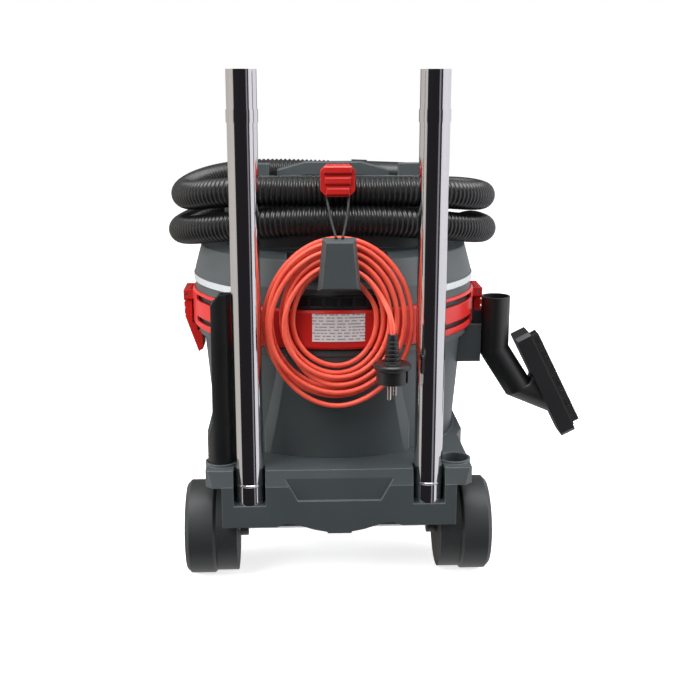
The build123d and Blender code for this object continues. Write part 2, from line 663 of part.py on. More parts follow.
def make_cover():
    """Round shell with a raised tower, a lid tray, a rear bay and a front seat for the panel."""
    outer = dome(0) + extrude(Pos(0, 0, COVER_SHELF_Z - 6) * tower_outline(0), 120) & under_lid(0)
    tray = extrude(Pos(0, 0, COVER_SHELF_Z) * tower_outline(RIM_W), 150) - under_lid(TRAY_DEPTH)
    bay = block(-BAY_HALF, BAY_HALF, -260, BAY_BACK, BAY_LOW, BAY_TOP)
    for side in (-1, 1):
        x0, x1 = sorted((side * LUG_IN, side * LUG_OUT))
        tray -= block(x0, x1, LUG_Y, LUG_Y + LUG_T, COVER_SHELF_Z, LUG_TOP)
    outer = outer - tray - bay - hand_pocket(0, TOWER_TOP + 20)
    for side in (-1, 1):
        x0, x1 = sorted((side * LUG_IN, side * LUG_OUT))
        outer += block(x0, x1, LUG_Y, LUG_Y + LUG_T, tray_height(LUG_Y, TRAY_DEPTH + 2), LUG_TOP)
    outer += cylinder_z(BUTTON_R + 4, tray_height(BUTTON_Y, TRAY_DEPTH + 6),
                        tray_height(BUTTON_Y, TRAY_DEPTH) + BUTTON_COLLAR, 0, BUTTON_Y)
    hollow = extrude(Pos(0, 0, COVER_SHELF_Z - 12) * tower_outline(COVER_WALL), 150)
    inner = dome(COVER_WALL) + hollow & under_lid(TRAY_DEPTH + COVER_WALL)
    inner -= block(-BAY_HALF - COVER_WALL, BAY_HALF + COVER_WALL, -260, BAY_BACK + COVER_WALL,
                   BAY_LOW - COVER_WALL, BAY_TOP + COVER_WALL)
    inner -= hand_pocket(COVER_WALL, TOWER_TOP + 20)
    inner -= cylinder_z(BUTTON_R + 4, button_floor() - COVER_WALL, TOWER_TOP, 0, BUTTON_Y)
    cover = outer - inner
    cover -= cylinder_z(BUTTON_R + RUN * 2, button_floor(), TOWER_TOP, 0, BUTTON_Y)
    cover -= cylinder_z(BUTTON_STEM_R + RUN, button_floor() - 40, TOWER_TOP, 0, BUTTON_Y)
    cover -= panel_seat()
    return cover


def panel_seat():
    """Flat on the front of the cover that the control panel is fixed to."""
    return block(-PANEL_HALF - FREE, PANEL_HALF + FREE, PANEL_Y - PANEL_T, PANEL_Y + 60,
                 PANEL_LOW - FREE, PANEL_HIGH + FREE)


def button_floor():
    return tray_height(BUTTON_Y, TRAY_DEPTH) + BUTTON_COLLAR - BUTTON_TRAVEL - 8


def make_silver_trim():
    trim = ring_z(COVER_R + TRIM_T, COVER_R + SKIN, TRIM_LOW, TRIM_HIGH)
    trim -= block(-TRIM_BARE_HALF, TRIM_BARE_HALF, -400, 0, TRIM_LOW - 1, TRIM_HIGH + 1)
    return trim - block(-PANEL_HALF - 2, PANEL_HALF + 2, 0, 400, TRIM_LOW - 1, TRIM_HIGH + 1)


def make_grille():
    """Black exhaust grille across the back with upright bars."""
    grille = ring_z(COVER_R + GRILLE_T, COVER_R, GRILLE_LOW, GRILLE_HIGH)
    grille &= block(-GRILLE_HALF, GRILLE_HALF, -400, 0, GRILLE_LOW - 1, GRILLE_HIGH + 1)
    pitch = 2 * (GRILLE_HALF - 4) / GRILLE_BARS
    for i in range(GRILLE_BARS):
        x = -GRILLE_HALF + 4 + pitch * (i + 0.5)
        half = pitch * GRILLE_SLOT_SHARE / 2
        slot = block(x - half, x + half, -COVER_R - 20, -COVER_R * 0.9,
                     GRILLE_LOW + 2.5, GRILLE_HIGH - 2.5)
        grille -= slot - cylinder_z(COVER_R + 1.2, GRILLE_LOW, GRILLE_HIGH)
    return grille


def make_rating_plate():
    plate = ring_z(RING_R + PLATE_T, RING_R + SKIN, PLATE_LOW, PLATE_HIGH)
    return plate & block(-PLATE_HALF, PLATE_HALF, -400, 0, PLATE_LOW - 1, PLATE_HIGH + 1)


# Cord hook, gland, mains lead and plug
def make_cord_hook():
    lip = [(-HOOK_TOP_HALF, HOOK_TOP), (-HOOK_LOW_HALF, HOOK_LOW),
           (HOOK_LOW_HALF, HOOK_LOW), (HOOK_TOP_HALF, HOOK_TOP)]
    face = make_face(Polyline(*[(x, HOOK_BACK_Y, z) for x, z in lip], close=True))
    hook = extrude(face, HOOK_T, dir=(0, -1, 0), taper=HOOK_BEVEL)
    hook += block(-ARM_HALF, ARM_HALF, HOOK_BACK_Y - 1, BAY_BACK, HOOK_LOW, ARM_TOP)
    return hook


def make_gland():
    wall, tip = -BAY_HALF, -BAY_HALF + GLAND_LENGTH
    seat = Plane((wall, GLAND_Y, GLAND_Z), z_dir=(1, 0, 0))
    cone = seat * Pos(0, 0, GLAND_LENGTH / 2) * Cone(GLAND_R, GLAND_TIP_R, GLAND_LENGTH)
    flange = bar(GLAND_R + 2.5, (wall, GLAND_Y, GLAND_Z), (wall + 4, GLAND_Y, GLAND_Z))
    groove = bar(GLAND_R + 3, (0, 0, 0), (1.6, 0, 0)) - bar(GLAND_TIP_R, (-1, 0, 0), (3, 0, 0))
    gland = cone + flange
    for i in range(4):
        gland -= Pos(wall + 7 + 4.4 * i, GLAND_Y, GLAND_Z) * groove
    return gland, (tip, GLAND_Y, GLAND_Z)


def biarc(p0, t0, p1, t1):
    """Two tangent arcs from one point and direction to another."""
    v = p1 - p0
    t = t0 + t1
    vt, room = v.dot(t), 2 * (1 - t0.dot(t1))
    if room < 1e-9:
        d = v.dot(v) / (4 * v.dot(t1))
    else:
        d = (-vt + (vt * vt + room * v.dot(v)) ** 0.5) / room
    joint = (p0 + p1 + (t0 - t1) * d) * 0.5
    return [TangentArc(p0, joint, tangent=t0), TangentArc(p1, joint, tangent=-t1)]


def coil_point(turns, out, layer):
    """Point and direction on the coil: turns from the top, out counts steps from the inner turn."""
    a, b = COIL_A + COIL_STEP_A * out, COIL_B + COIL_STEP_B * out
    angle = 2 * pi * turns
    y = COIL_LAYER_Y - COIL_LAYER_STEP * layer
    point = Vector(COIL_X + a * sin(angle), y, COIL_Z + b * cos(angle))
    return point, Vector(a * cos(angle), 0, -b * sin(angle)).normalized()


def cord_knots(exit_point):
    """Points and directions of the mains lead: gland, inner layer outwards, outer layer inwards, plug."""
    gland_end, ahead = Vector(*exit_point), Vector(1, 0, 0)
    knots = [(gland_end, ahead), (gland_end + ahead * LEAD_STRAIGHT, ahead)]
    knots.append((Vector(*LEAD_OVER_ARM), Vector(0.82, -0.35, -0.45).normalized()))
    knots.append(coil_point(0.15, 0.1, 0))
    quarters = 4
    for i in range(1, COIL_OUT_TURNS * quarters + 1):
        turns = i / quarters
        knots.append(coil_point(turns, turns, 0))
    knots.append(coil_point(COIL_OUT_TURNS + 0.25, COIL_OUT_TURNS + 0.3, 0.5))
    for i in range(2, COIL_IN_TURNS * quarters + 1):
        turns = i / quarters
        knots.append(coil_point(COIL_OUT_TURNS + turns, COIL_OUT_TURNS + 0.5 - turns, 1))
    knots.append((Vector(*LEAD_TAIL), Vector(0.5, -0.33, -0.8).normalized()))
    knots.append((Vector(PLUG_X, PLUG_Y, PLUG_TOP + LEAD_STRAIGHT), Vector(0, 0, -1)))
    knots.append((Vector(PLUG_X, PLUG_Y, PLUG_TOP), Vector(0, 0, -1)))
    return knots


def cord_path(exit_point):
    edges = []
    knots = cord_knots(exit_point)
    for (p0, t0), (p1, t1) in zip(knots, knots[1:]):
        run = (p1 - p0).normalized()
        if run.dot(t0) > 0.99999 and run.dot(t1) > 0.99999:
            edges.append(Line(p0, p1))
        else:
            edges += biarc(p0, t0, p1, t1)
    return edges


def least_gap(points, width, spare):
    """Smallest clear distance between stretches of one tube that lie over spare apart along it."""
    cells = {}
    best = 1e9
    for i, p in enumerate(points):
        key = tuple(int(v // (width * 2)) for v in p)
        for dx in (-1, 0, 1):
            for dy in (-1, 0, 1):
                for dz in (-1, 0, 1):
                    for j in cells.get((key[0] + dx, key[1] + dy, key[2] + dz), ()):
                        if i - j > spare:
                            best = min(best, (p - points[j]).length - width)
        cells.setdefault(key, []).append(i)
    return best


def make_power_cord(exit_point):
    edges = cord_path(exit_point)
    path = Wire(edges)
    cord = sweep(Plane(Vector(*exit_point), z_dir=(1, 0, 0)) * Circle(CORD_R), path=path)
    points = [e.position_at(k / 8) for e in path.edges() for k in range(8)]
    radii = [e.radius for e in path.edges() if e.geom_type == GeomType.CIRCLE]
    print("mains lead length", round(path.length), "least radius", round(min(radii), 1),
          "least gap to itself", round(least_gap(points, 2 * CORD_R, 24), 2),
          "volume share", round(cord.volume / (path.length * pi * CORD_R ** 2), 4))
    return cord


def make_plug():
    """Round earthed plug with a ribbed strain relief."""
    relief = Cone(RELIEF_LOW_R, RELIEF_TOP_R, PLUG_TOP - PLUG_FLANGE_Z)
    relief = Pos(PLUG_X, PLUG_Y, (PLUG_TOP + PLUG_FLANGE_Z) / 2) * relief
    pitch = (PLUG_TOP - PLUG_FLANGE_Z - 8) / RELIEF_RIBS
    for i in range(RELIEF_RIBS):
        z = PLUG_FLANGE_Z + 5 + pitch * i
        relief -= ring_z(RELIEF_LOW_R + 5, RELIEF_TOP_R, z, z + pitch * 0.4, PLUG_X, PLUG_Y)
    flange = cylinder_z(PLUG_FLANGE_R, PLUG_FLANGE_Z - 5, PLUG_FLANGE_Z + 2, PLUG_X, PLUG_Y)
    flange = chamfer(flange.edges().filter_by(GeomType.CIRCLE), 1.8)
    body = cylinder_z(PLUG_BODY_R, PLUG_BODY_Z, PLUG_FLANGE_Z, PLUG_X, PLUG_Y)
    for side in (0, 180):
        notch = Pos(PLUG_BODY_R, 0, 0) * Box(5, 7, 2 * (PLUG_FLANGE_Z - 6 - PLUG_BODY_Z))
        body -= Pos(PLUG_X, PLUG_Y, PLUG_BODY_Z) * Rot(0, 0, PIN_TURN + 90 + side) * notch
    return relief + flange + body


def make_plug_pins():
    pins = []
    for side in (-1, 1):
        x = PLUG_X + side * PIN_SPACING / 2 * cos(radians(PIN_TURN))
        y = PLUG_Y + side * PIN_SPACING / 2 * sin(radians(PIN_TURN))
        pin = cylinder_z(PIN_R, PLUG_BODY_Z - PIN_LENGTH, PLUG_BODY_Z, x, y)
        pins.append(chamfer(pin.edges().filter_by(GeomType.CIRCLE).sort_by(Axis.Z)[0], 1.2))
    return Compound(children=pins)


# Hose, its elbow at the inlet and its cuff on the lid
def hose_loop_point(turn):
    """Centre of the wound hose: turn 0 is the front, 0.25 the right side, 0.5 the back, 0.75 the left."""
    angle = 2 * pi * turn
    share = min(max((turn - 0.75) / 0.35, 0.0), 1.0)
    lap = share * share * (3 - 2 * share)
    side = 201.0 - 9.0 * lap
    depth = 173.0 - 13.0 * lap
    middle = 12.0 + 14.0 * lap
    back = (1 - cos(angle)) / 2
    across = abs(sin(angle))
    low = 428.0 + 14.0 * back - 24.0 * across ** 2
    high = 446.0 + 24.0 * back - 2.0 * across ** 2
    return Vector(side * sin(angle), middle + depth * cos(angle), low + (high - low) * lap)


def hose_route():
    """Control points of the hose: up from the elbow, two laps round the head, then over the lid."""
    face = tank_radius(INLET_Z) + INLET_REACH
    start = [(26.0, face + 42.0, INLET_Z + 26.0), (46.0, face + 42.0, INLET_Z + 46.0), (72.0, 209.0, 303.0),
             (101.0, 195.0, 330.0), (130.0, 174.0, 356.0), (156.0, 145.0, 379.0), (177.0, 107.0, 397.0)]
    first, last = 0.2, 1.125
    count = round((last - first) * HOSE_TURN_POINTS)
    loops = [hose_loop_point(first + (last - first) * i / count) for i in range(count + 1)]
    end = [(168.0, 103.0, 453.0), (187.0, 56.0, 455.0), (193.5, 5.0, 456.0), (188.5, -44.0, 458.5),
           (168.0, -87.0, 462.5), (133.0, -118.0, 468.0), (86.0, -134.5, 473.0), (30.0, -138.0, 471.5),
           (-59.5, -137.3, 473.0), (-110.7, -127.1, 473.5), (-154.1, -98.1, 467.0), (-183.1, -54.7, 460.5),
           (-193.3, -3.5, 460.0), (-183.1, 47.7, 466.0), (-154.1, 91.1, 473.0), (-110.7, 120.1, 476.5),
           (-59.5, 130.3, 476.0), (-20.0, 130.0, 474.5), (6.0, 128.5, 473.5), (30.0, 127.0, 472.7)]
    return [Vector(*p) for p in start] + loops + [Vector(*p) for p in end]


def smooth_line(control, samples):
    """Quadratic B-spline through the control polygon: points and directions at samples per span."""
    points, directions = [], []
    last = len(control) - 2
    for i in range(1, last + 1):
        a = control[0] if i == 1 else (control[i - 1] + control[i]) * 0.5
        c = control[-1] if i == last else (control[i] + control[i + 1]) * 0.5
        b = control[i]
        for k in range(samples + (i == last)):
            t = k / samples
            points.append(a * ((1 - t) ** 2) + b * (2 * t * (1 - t)) + c * (t * t))
            directions.append(((b - a) * (1 - t) + (c - b) * t).normalized())
    return points, directions


def spread_along(points, directions, count):
    """Pick count + 1 evenly spaced places along sampled points."""
    run = [0.0]
    for a, b in zip(points, points[1:]):
        run.append(run[-1] + (b - a).length)
    places, j = [], 0
    for i in range(count + 1):
        goal = run[-1] * i / count
        while j < len(run) - 2 and run[j + 1] < goal:
            j += 1
        share = (goal - run[j]) / (run[j + 1] - run[j])
        place = points[j] + (points[j + 1] - points[j]) * share
        places.append((place, (directions[j] * (1 - share) + directions[j + 1] * share).normalized()))
    return places, run[-1]


def rims(stations):
    """Circles at stations given as (centre, direction, radius), all turned the same way."""
    up = Vector(0, 0, 1)
    circles = []
    for centre, direction, radius in stations:
        across = up - direction * up.dot(direction)
        circles.append(Edge.make_circle(radius, Plane(centre, x_dir=across, z_dir=direction)))
    return circles


def tube_wall(outer, bore):
    """Closed tube between an outer skin and a bore that share their end planes."""
    outer_rims, bore_rims = rims(outer), rims(bore)
    faces = []
    for circles in (outer_rims, bore_rims):
        faces += [Face.make_surface_from_curves(a, b) for a, b in zip(circles, circles[1:])]
    for end in (0, -1):
        faces.append(Face(Wire([outer_rims[end]]), [Wire([bore_rims[end]])]))
    return Solid(Shell(faces))


def make_hose():
    """Ribbed hose with its bore, plain for one diameter at each end."""
    points, directions = smooth_line(hose_route(), 24)
    steps = HOSE_RIBS * 4
    places, length = spread_along(points, directions, steps)
    plain = ceil(2 * HOSE_R / (length / steps))
    outer = []
    for i, (centre, direction) in enumerate(places):
        ribbed = plain <= i <= steps - plain
        crest = ribbed and i % 4 in (1, 2)
        outer.append((centre, direction, HOSE_R if crest else HOSE_ROOT_R))
    bore = [(c, d, HOSE_BORE_R) for c, d in places[::2]]
    hose = tube_wall(outer, bore)
    centres = [c for c, _ in places]
    bends = [((b - a).length + (c - b).length) / 2 / max(radians((b - a).get_angle(c - b)), 1e-6)
             for a, b, c in zip(points[::8], points[8::8], points[16::8])]
    print("hose length", round(length), "rib pitch", round(length / HOSE_RIBS, 1), "least gap to itself",
          round(least_gap(centres, 2 * HOSE_R, 40), 2), "least bend radius", round(min(bends)))
    return hose, places[0], places[-1]


def make_elbow(start):
    """Elbow that plugs into the inlet and turns the hose up along the tank."""
    centre, direction = start
    face = tank_radius(INLET_Z) + INLET_REACH
    seat = (0, face - 24, INLET_Z)
    knee = (0, face + 42.0, INLET_Z)
    plug = bar(INLET_BORE_R - FREE, seat, knee)
    plug += bar(INLET_BORE_R + 5, (0, face + SKIN, INLET_Z), (0, face + 12, INLET_Z))
    plug += Pos(*knee) * Sphere(INLET_BORE_R - FREE)
    plug += bar(ELBOW_R, knee, centre)
    inside = bar(HOSE_BORE_R, (0, face - 40, INLET_Z), knee) + Pos(*knee) * Sphere(HOSE_BORE_R)
    inside += bar(HOSE_BORE_R, knee, centre + direction)
    return plug - inside


def make_cuff(end):
    """Straight tool cuff on the free end of the hose."""
    centre, direction = end
    far = centre + direction * CUFF_LENGTH
    cuff = bar(CUFF_R - 1.5, centre, far)
    cuff += bar(CUFF_R, centre, centre + direction * CUFF_COLLAR)
    step = centre + direction * 30
    cuff -= bar(HOSE_BORE_R, (centre - direction), (step + direction))
    return cuff - bar(CUFF_BORE_R, step, (far + direction))


# Strap and clip, handle and filter button
def make_clip():
    """Clip hooked over the back rim of the lid, with cut corners and three ridges that narrow downwards."""
    rim_front = TOWER_REAR + RIM_W
    top = tray_height(TOWER_REAR) + SKIN
    waist = CLIP_LOW + CLIP_CUT
    half = [(CLIP_HALF - CLIP_CUT, CLIP_TOP), (CLIP_HALF, CLIP_TOP - CLIP_CUT), (CLIP_HALF, waist),
            (CLIP_HALF - CLIP_CUT, CLIP_LOW)]
    leg = prism_y(half + [(-x, z) for x, z in reversed(half)], CLIP_BACK, CLIP_BACK + CLIP_T)
    arm = block(-CLIP_HALF + 4, CLIP_HALF - 4, CLIP_BACK + 1, rim_front + 6, top, top + 7)
    hook = block(-CLIP_HALF + 4, CLIP_HALF - 4, rim_front + 1, rim_front + 6, top - TRAY_DEPTH + 3, top + 1)
    clip = leg + arm + hook
    pitch = (CLIP_TOP - CLIP_LOW) / CLIP_RIDGES
    for i in range(CLIP_RIDGES):
        reach = CLIP_HALF - CLIP_CUT + i * CLIP_FLARE
        low = CLIP_LOW + pitch * i + CLIP_GROOVE
        proud = CLIP_RIDGE_T + i * CLIP_FLARE / 2
        ridge = block(-reach, reach, CLIP_BACK - proud, CLIP_BACK + 1, low, low + pitch - 2 * CLIP_GROOVE)
        clip += chamfer(ridge.edges().filter_by(Axis.X).sort_by(Axis.Y)[:2], CLIP_GROOVE)
    return clip


def make_strap():
    """Two strands of the elastic loop between the clip and the cord hook."""
    low_y = HOOK_BACK_Y - 4
    top_y = CLIP_BACK + 4
    strands = []
    for side in (-1, 1):
        low = Vector(side * STRAP_LOW_X, low_y, HOOK_TOP)
        top = Vector(side * STRAP_TOP_X, top_y, CLIP_LOW)
        over = (top - low).normalized() * 6
        strand = bar(STRAP_R, (low - over), (top + over))
        strands.append(strand & block(-40, 40, -260, 0, HOOK_TOP, CLIP_LOW))
    return Compound(children=strands)


def make_handle():
    """Arched grip over the hand pocket of the lid."""
    drop = 10.0
    crest = HANDLE_HALF / 2
    arch = [(-HANDLE_HALF, HANDLE_TOP - drop - HANDLE_T), (-HANDLE_HALF, HANDLE_TOP - drop),
            (-crest, HANDLE_TOP), (crest, HANDLE_TOP), (HANDLE_HALF, HANDLE_TOP - drop),
            (HANDLE_HALF, HANDLE_TOP - drop - HANDLE_T), (crest, HANDLE_TOP - HANDLE_T),
            (-crest, HANDLE_TOP - HANDLE_T)]
    y0, y1 = HANDLE_Y - HANDLE_W / 2, HANDLE_Y + HANDLE_W / 2
    grip = prism_y(arch, y0, y1)
    for side in (-1, 1):
        x0, x1 = sorted((side * HANDLE_HALF, side * (HANDLE_HALF - HANDLE_LEG)))
        grip += block(x0, x1, y0, y1, tray_height(y1, TRAY_DEPTH + 4), HANDLE_TOP - drop - HANDLE_T + 2)
    return grip - (under_lid(TRAY_DEPTH) - hand_pocket(0, TOWER_TOP))


def make_button():
    """Filter cleaning push button with its stem."""
    top = tray_height(BUTTON_Y, TRAY_DEPTH) + BUTTON_RISE
    low = button_floor() + BUTTON_TRAVEL + SKIN
    button = cylinder_z(BUTTON_R, low, top, 0, BUTTON_Y)
    button = chamfer(button.edges().filter_by(GeomType.CIRCLE).sort_by(Axis.Z)[-1], 2)
    return button + cylinder_z(BUTTON_STEM_R, button_floor() - 20, low + 1, 0, BUTTON_Y)


# Control panel
def make_panel():
    """Black panel on the front of the head with bores for the knob shafts and a tool socket well."""
    panel = block(-PANEL_HALF, PANEL_HALF, PANEL_Y - PANEL_T, PANEL_Y, PANEL_LOW, PANEL_HIGH)
    panel = chamfer(panel.edges().filter_by(Axis.Y), 6)
    middle = (PANEL_LOW + PANEL_HIGH) / 2
    for x in (KNOB_X, DIAL_X):
        panel -= bar(SHAFT_R + RUN, (x, PANEL_Y - 40, middle), (x, PANEL_Y + 1, middle))
    panel -= bar(SOCKET_FACE_R, (0, PANEL_Y - PANEL_T + 3, middle - 2), (0, PANEL_Y + 1, middle - 2))
    for side in (-1, 1):
        x0, x1 = sorted((side * (FLAP_HALF + SKIN), side * (FLAP_HALF + 4)))
        panel += block(x0, x1, PANEL_Y - 1, PANEL_Y + 5, flap_pin_z() - 4, flap_pin_z() + 4)
    reach = FLAP_HALF + 9
    return panel - bar(FLAP_PIN_R, (-reach, flap_pin_y(), flap_pin_z()), (reach, flap_pin_y(), flap_pin_z()))


def flap_pin_y():
    return PANEL_Y + 2.6


def flap_pin_z():
    return PANEL_HIGH - 5


def make_socket_flap():
    z0, z1 = PANEL_LOW + 5, flap_pin_z()
    flap = block(-FLAP_HALF, FLAP_HALF, PANEL_Y + SKIN, PANEL_Y + SKIN + FLAP_T, z0, z1)
    flap += bar(2.2, (-FLAP_HALF, flap_pin_y(), flap_pin_z()), (FLAP_HALF, flap_pin_y(), flap_pin_z()))
    flap += block(-8, 8, PANEL_Y + SKIN + 1, PANEL_Y + SKIN + FLAP_T + 3, z0, z0 + 3)
    return flap - bar(FLAP_PIN_R + RUN, (-60, flap_pin_y(), flap_pin_z()), (60, flap_pin_y(), flap_pin_z()))


def make_flap_pin():
    reach = FLAP_HALF + 4
    return bar(FLAP_PIN_R, (-reach, flap_pin_y(), flap_pin_z()), (reach, flap_pin_y(), flap_pin_z()))


def make_socket_face():
    """Recessed power tool socket with two pin holes."""
    middle = (PANEL_LOW + PANEL_HIGH) / 2 - 2
    back = PANEL_Y - PANEL_T + 3
    face = bar(SOCKET_FACE_R - RUN, (0, back, middle), (0, back + 3, middle))
    for side in (-1, 1):
        x = side * PIN_SPACING / 2
        face -= bar(PIN_R + 0.2, (x, back - 1, middle), (x, back + 5, middle))
    return face


def make_knob(x, r):
    """Knob with a skirt and a pointer rib on a short shaft."""
    middle = (PANEL_LOW + PANEL_HIGH) / 2
    low = PANEL_Y + SKIN
    knob = bar(r, (x, low, middle), (x, low + 5, middle))
    knob += bar(r - 3, (x, low + 4, middle), (x, low + KNOB_T, middle))
    knob += block(x - 3, x + 3, low + 4, low + KNOB_T + 2, middle - r + 3, middle + r - 1)
    return knob + bar(SHAFT_R, (x, PANEL_Y - PANEL_T + 0.5, middle), (x, low + 1, middle))


# Motor, fan and filter
def fan_low():
    return RING_FLOOR_TOP + FAN_CASE_WALL + 2


def make_fan_case():
    """Fan housing that closes the eye of the head ring and carries the motor."""
    low, high = RING_FLOOR_TOP, MOTOR_LOW
    case = cylinder_z(FAN_CASE_R, low, high) + cylinder_z(RING_EYE_R + 12, low, low + FAN_CASE_WALL)
    case -= cylinder_z(FAN_CASE_R - FAN_CASE_WALL, low + FAN_CASE_WALL, high - FAN_CASE_WALL)
    case -= cylinder_z(FAN_EYE_R, low - 1, low + FAN_CASE_WALL + 1)
    case -= cylinder_z(BEARING_R, high - FAN_CASE_WALL - 1, high + 1)
    for i in range(6):
        window = block(FAN_CASE_R - 8, FAN_CASE_R + 4, -12, 12, fan_low() + 3, fan_low() + 18)
        case -= Rot(0, 0, 60 * i) * window
    return case


def make_motor_can():
    """Stator and motor can with a bearing seat at each end."""
    can = cylinder_z(STATOR_R, MOTOR_LOW, MOTOR_HIGH)
    can -= cylinder_z(ROTOR_R + 1, MOTOR_LOW + BEARING_T, MOTOR_HIGH - BEARING_T)
    return can - cylinder_z(BEARING_R, MOTOR_LOW - 1, MOTOR_HIGH + 1)


def make_bearing(low):
    return ring_z(BEARING_R, SHAFT_MOTOR_R + RUN, low, low + BEARING_T)


def make_armature():
    shaft = cylinder_z(SHAFT_MOTOR_R, fan_low(), MOTOR_HIGH + 2)
    core = cylinder_z(ROTOR_R, MOTOR_LOW + BEARING_T + 6, MOTOR_HIGH - BEARING_T - 16)
    brushes = cylinder_z(ROTOR_R * 0.5, MOTOR_HIGH - BEARING_T - 17, MOTOR_HIGH - BEARING_T - 3)
    return shaft + core + brushes


def make_impeller():
    """Fan wheel: two discs with curved blades between them."""
    low = fan_low()
    hub = cylinder_z(SHAFT_MOTOR_R + 7, low, low + FAN_T + 4)
    wheel = ring_z(FAN_R, FAN_EYE_R - 3, low, low + 1.5) + hub
    wheel += cylinder_z(FAN_R, low + FAN_T, low + FAN_T + 1.5)
    for i in range(FAN_BLADES):
        blade = block(SHAFT_MOTOR_R + 5, FAN_R - 1, -1, 1, low + 0.5, low + FAN_T + 0.5)
        wheel += Rot(0, 0, 360 / FAN_BLADES * i) * Pos(0, 10, 0) * Rot(0, 0, -12) * blade
    wheel &= cylinder_z(FAN_R, low, low + FAN_T + 10)
    return wheel - cylinder_z(SHAFT_MOTOR_R, low - 1, low + FAN_T + 20)


def make_filter_cage():
    """Slotted cage under the head that carries the cartridge and the float."""
    low = HEAD_LOW - FILTER_LENGTH - CAP_FILTER_T
    cage = ring_z(CAGE_R, CAGE_R - CAGE_WALL, low, HEAD_LOW - 4)
    cage += ring_z(RING_EYE_R + 10, FAN_EYE_R + 6, HEAD_LOW - 4, HEAD_LOW)
    cage += cylinder_z(CAGE_R, low, low + 3)
    for i in range(CAGE_SLOTS):
        slot = block(CAGE_R - 6, CAGE_R + 3, -10, 10, low + 12, HEAD_LOW - 16)
        cage -= Rot(0, 0, 360 / CAGE_SLOTS * i) * slot
    cage -= cylinder_z(4 + RUN, low - 1, low + 5)
    return cage


def make_filter():
    """Pleated cartridge filter."""
    low = HEAD_LOW - FILTER_LENGTH - 4
    points = []
    for i in range(FILTER_PLEATS * 2):
        r = FILTER_R if i % 2 else FILTER_ROOT_R
        angle = pi * i / FILTER_PLEATS
        points.append((r * cos(angle), r * sin(angle)))
    return prism_z(points, low, HEAD_LOW - 4) - cylinder_z(CAGE_R + FREE / 2, low - 1, HEAD_LOW)


def make_filter_cap():
    """Cap that clamps the cartridge on its cage, with a wing nut on a stud."""
    top = HEAD_LOW - FILTER_LENGTH - 4
    low = HEAD_LOW - FILTER_LENGTH - CAP_FILTER_T
    cap = cylinder_z(FILTER_R, low - 3, top) - cylinder_z(CAGE_R + FREE / 2, low, top + 1)
    cap += cylinder_z(4, low - 3, low + 10) + cylinder_z(12, low - 10, low - 2)
    return cap + block(-24, 24, -3, 3, low - 14, low - 4)


def make_float():
    """Float that rises and shuts the suction eye when the tank is full."""
    low = HEAD_LOW - FILTER_LENGTH - CAP_FILTER_T + 10 + SKIN
    base = HEAD_LOW - 4 - FLOAT_H - FLOAT_TRAVEL - 2
    body = cylinder_z(FLOAT_R, base, base + FLOAT_H)
    body = chamfer(body.edges().filter_by(GeomType.CIRCLE), 3)
    return body + cylinder_z(5, low, base + 1)


def make_float_guide():
    """Guide post ring that keeps the float's stem upright in the cage."""
    low = HEAD_LOW - FILTER_LENGTH - CAP_FILTER_T + 3
    guide = ring_z(14, 5 + RUN, low, low + 24)
    for i in range(3):
        guide += Rot(0, 0, 120 * i) * block(12, CAGE_R - CAGE_WALL - SKIN, -2, 2, low, low + 8)
    return guide - cylinder_z(5 + RUN, low - 1, low + 30)


# Steel tubes and tools
def make_tube(side):
    x, z = side * TUBE_X, TUBE_FLOOR + FREE
    sleeve = z + TUBE_LENGTH - TUBE_SLEEVE_DROP
    tube = cylinder_z(TUBE_R, z, z + TUBE_LENGTH, x, TUBE_Y)
    tube += cylinder_z(TUBE_R + TUBE_SLEEVE_T, sleeve - TUBE_SLEEVE_W, sleeve, x, TUBE_Y)
    tube += Pos(x, TUBE_Y, z + TUBE_BEAD_Z) * Torus(TUBE_R - 0.4, TUBE_BEAD_R)
    tube -= cylinder_z(TUBE_R - TUBE_WALL, z - 1, z + TUBE_LENGTH + 1, x, TUBE_Y)
    return tube - cylinder_z(TUBE_MOUTH_R, z + TUBE_LENGTH - TUBE_MOUTH_DEPTH, z + TUBE_LENGTH + 1, x, TUBE_Y)


def make_crevice_nozzle():
    """Crevice tool in the left corner socket: a tube with one side cut flat and a slanted mouth."""
    x, y, low = -SOCKET_X, SOCKET_Y, DECK_TOP - SOCKET_DEPTH + 3 + FREE
    body = cylinder_z(CREVICE_R, low, CREVICE_TOP, x, y)
    flat = x - CREVICE_R + CREVICE_FLAT
    side = [(x - 40, CREVICE_FLARE_LOW), (x - CREVICE_R, CREVICE_FLARE_LOW), (flat, CREVICE_FLARE_HIGH),
            (flat + 1.5, CREVICE_TOP + 1), (x - 40, CREVICE_TOP + 1)]
    front = [(y + 40, CREVICE_FLARE_LOW), (y + CREVICE_R, CREVICE_FLARE_LOW), (y + 4, CREVICE_FLARE_HIGH),
             (y + 2, CREVICE_TOP + 1), (y + 40, CREVICE_TOP + 1)]
    mouth = [(x - 40, CREVICE_TOP + 1), (flat, CREVICE_TOP - 14), (flat + 12, CREVICE_TOP),
             (x + 40, CREVICE_TOP + 1)]

    def shaped(form, grow):
        cut_side = prism_y([(px + (grow if px > x - 40 else 0), pz) for px, pz in side], y - 60, y + 60)
        cut_front = [(x - 60, py - (grow if py < y + 40 else 0), pz) for py, pz in front]
        return form - cut_side - extrude(make_face(Polyline(*cut_front, close=True)), 120, dir=(1, 0, 0))

    solid = shaped(body, 0) - prism_y(mouth, y - 60, y + 60)
    hollow = shaped(cylinder_z(CREVICE_R - CREVICE_WALL, low - 1, CREVICE_TOP + 2, x, y), CREVICE_WALL)
    return solid - hollow


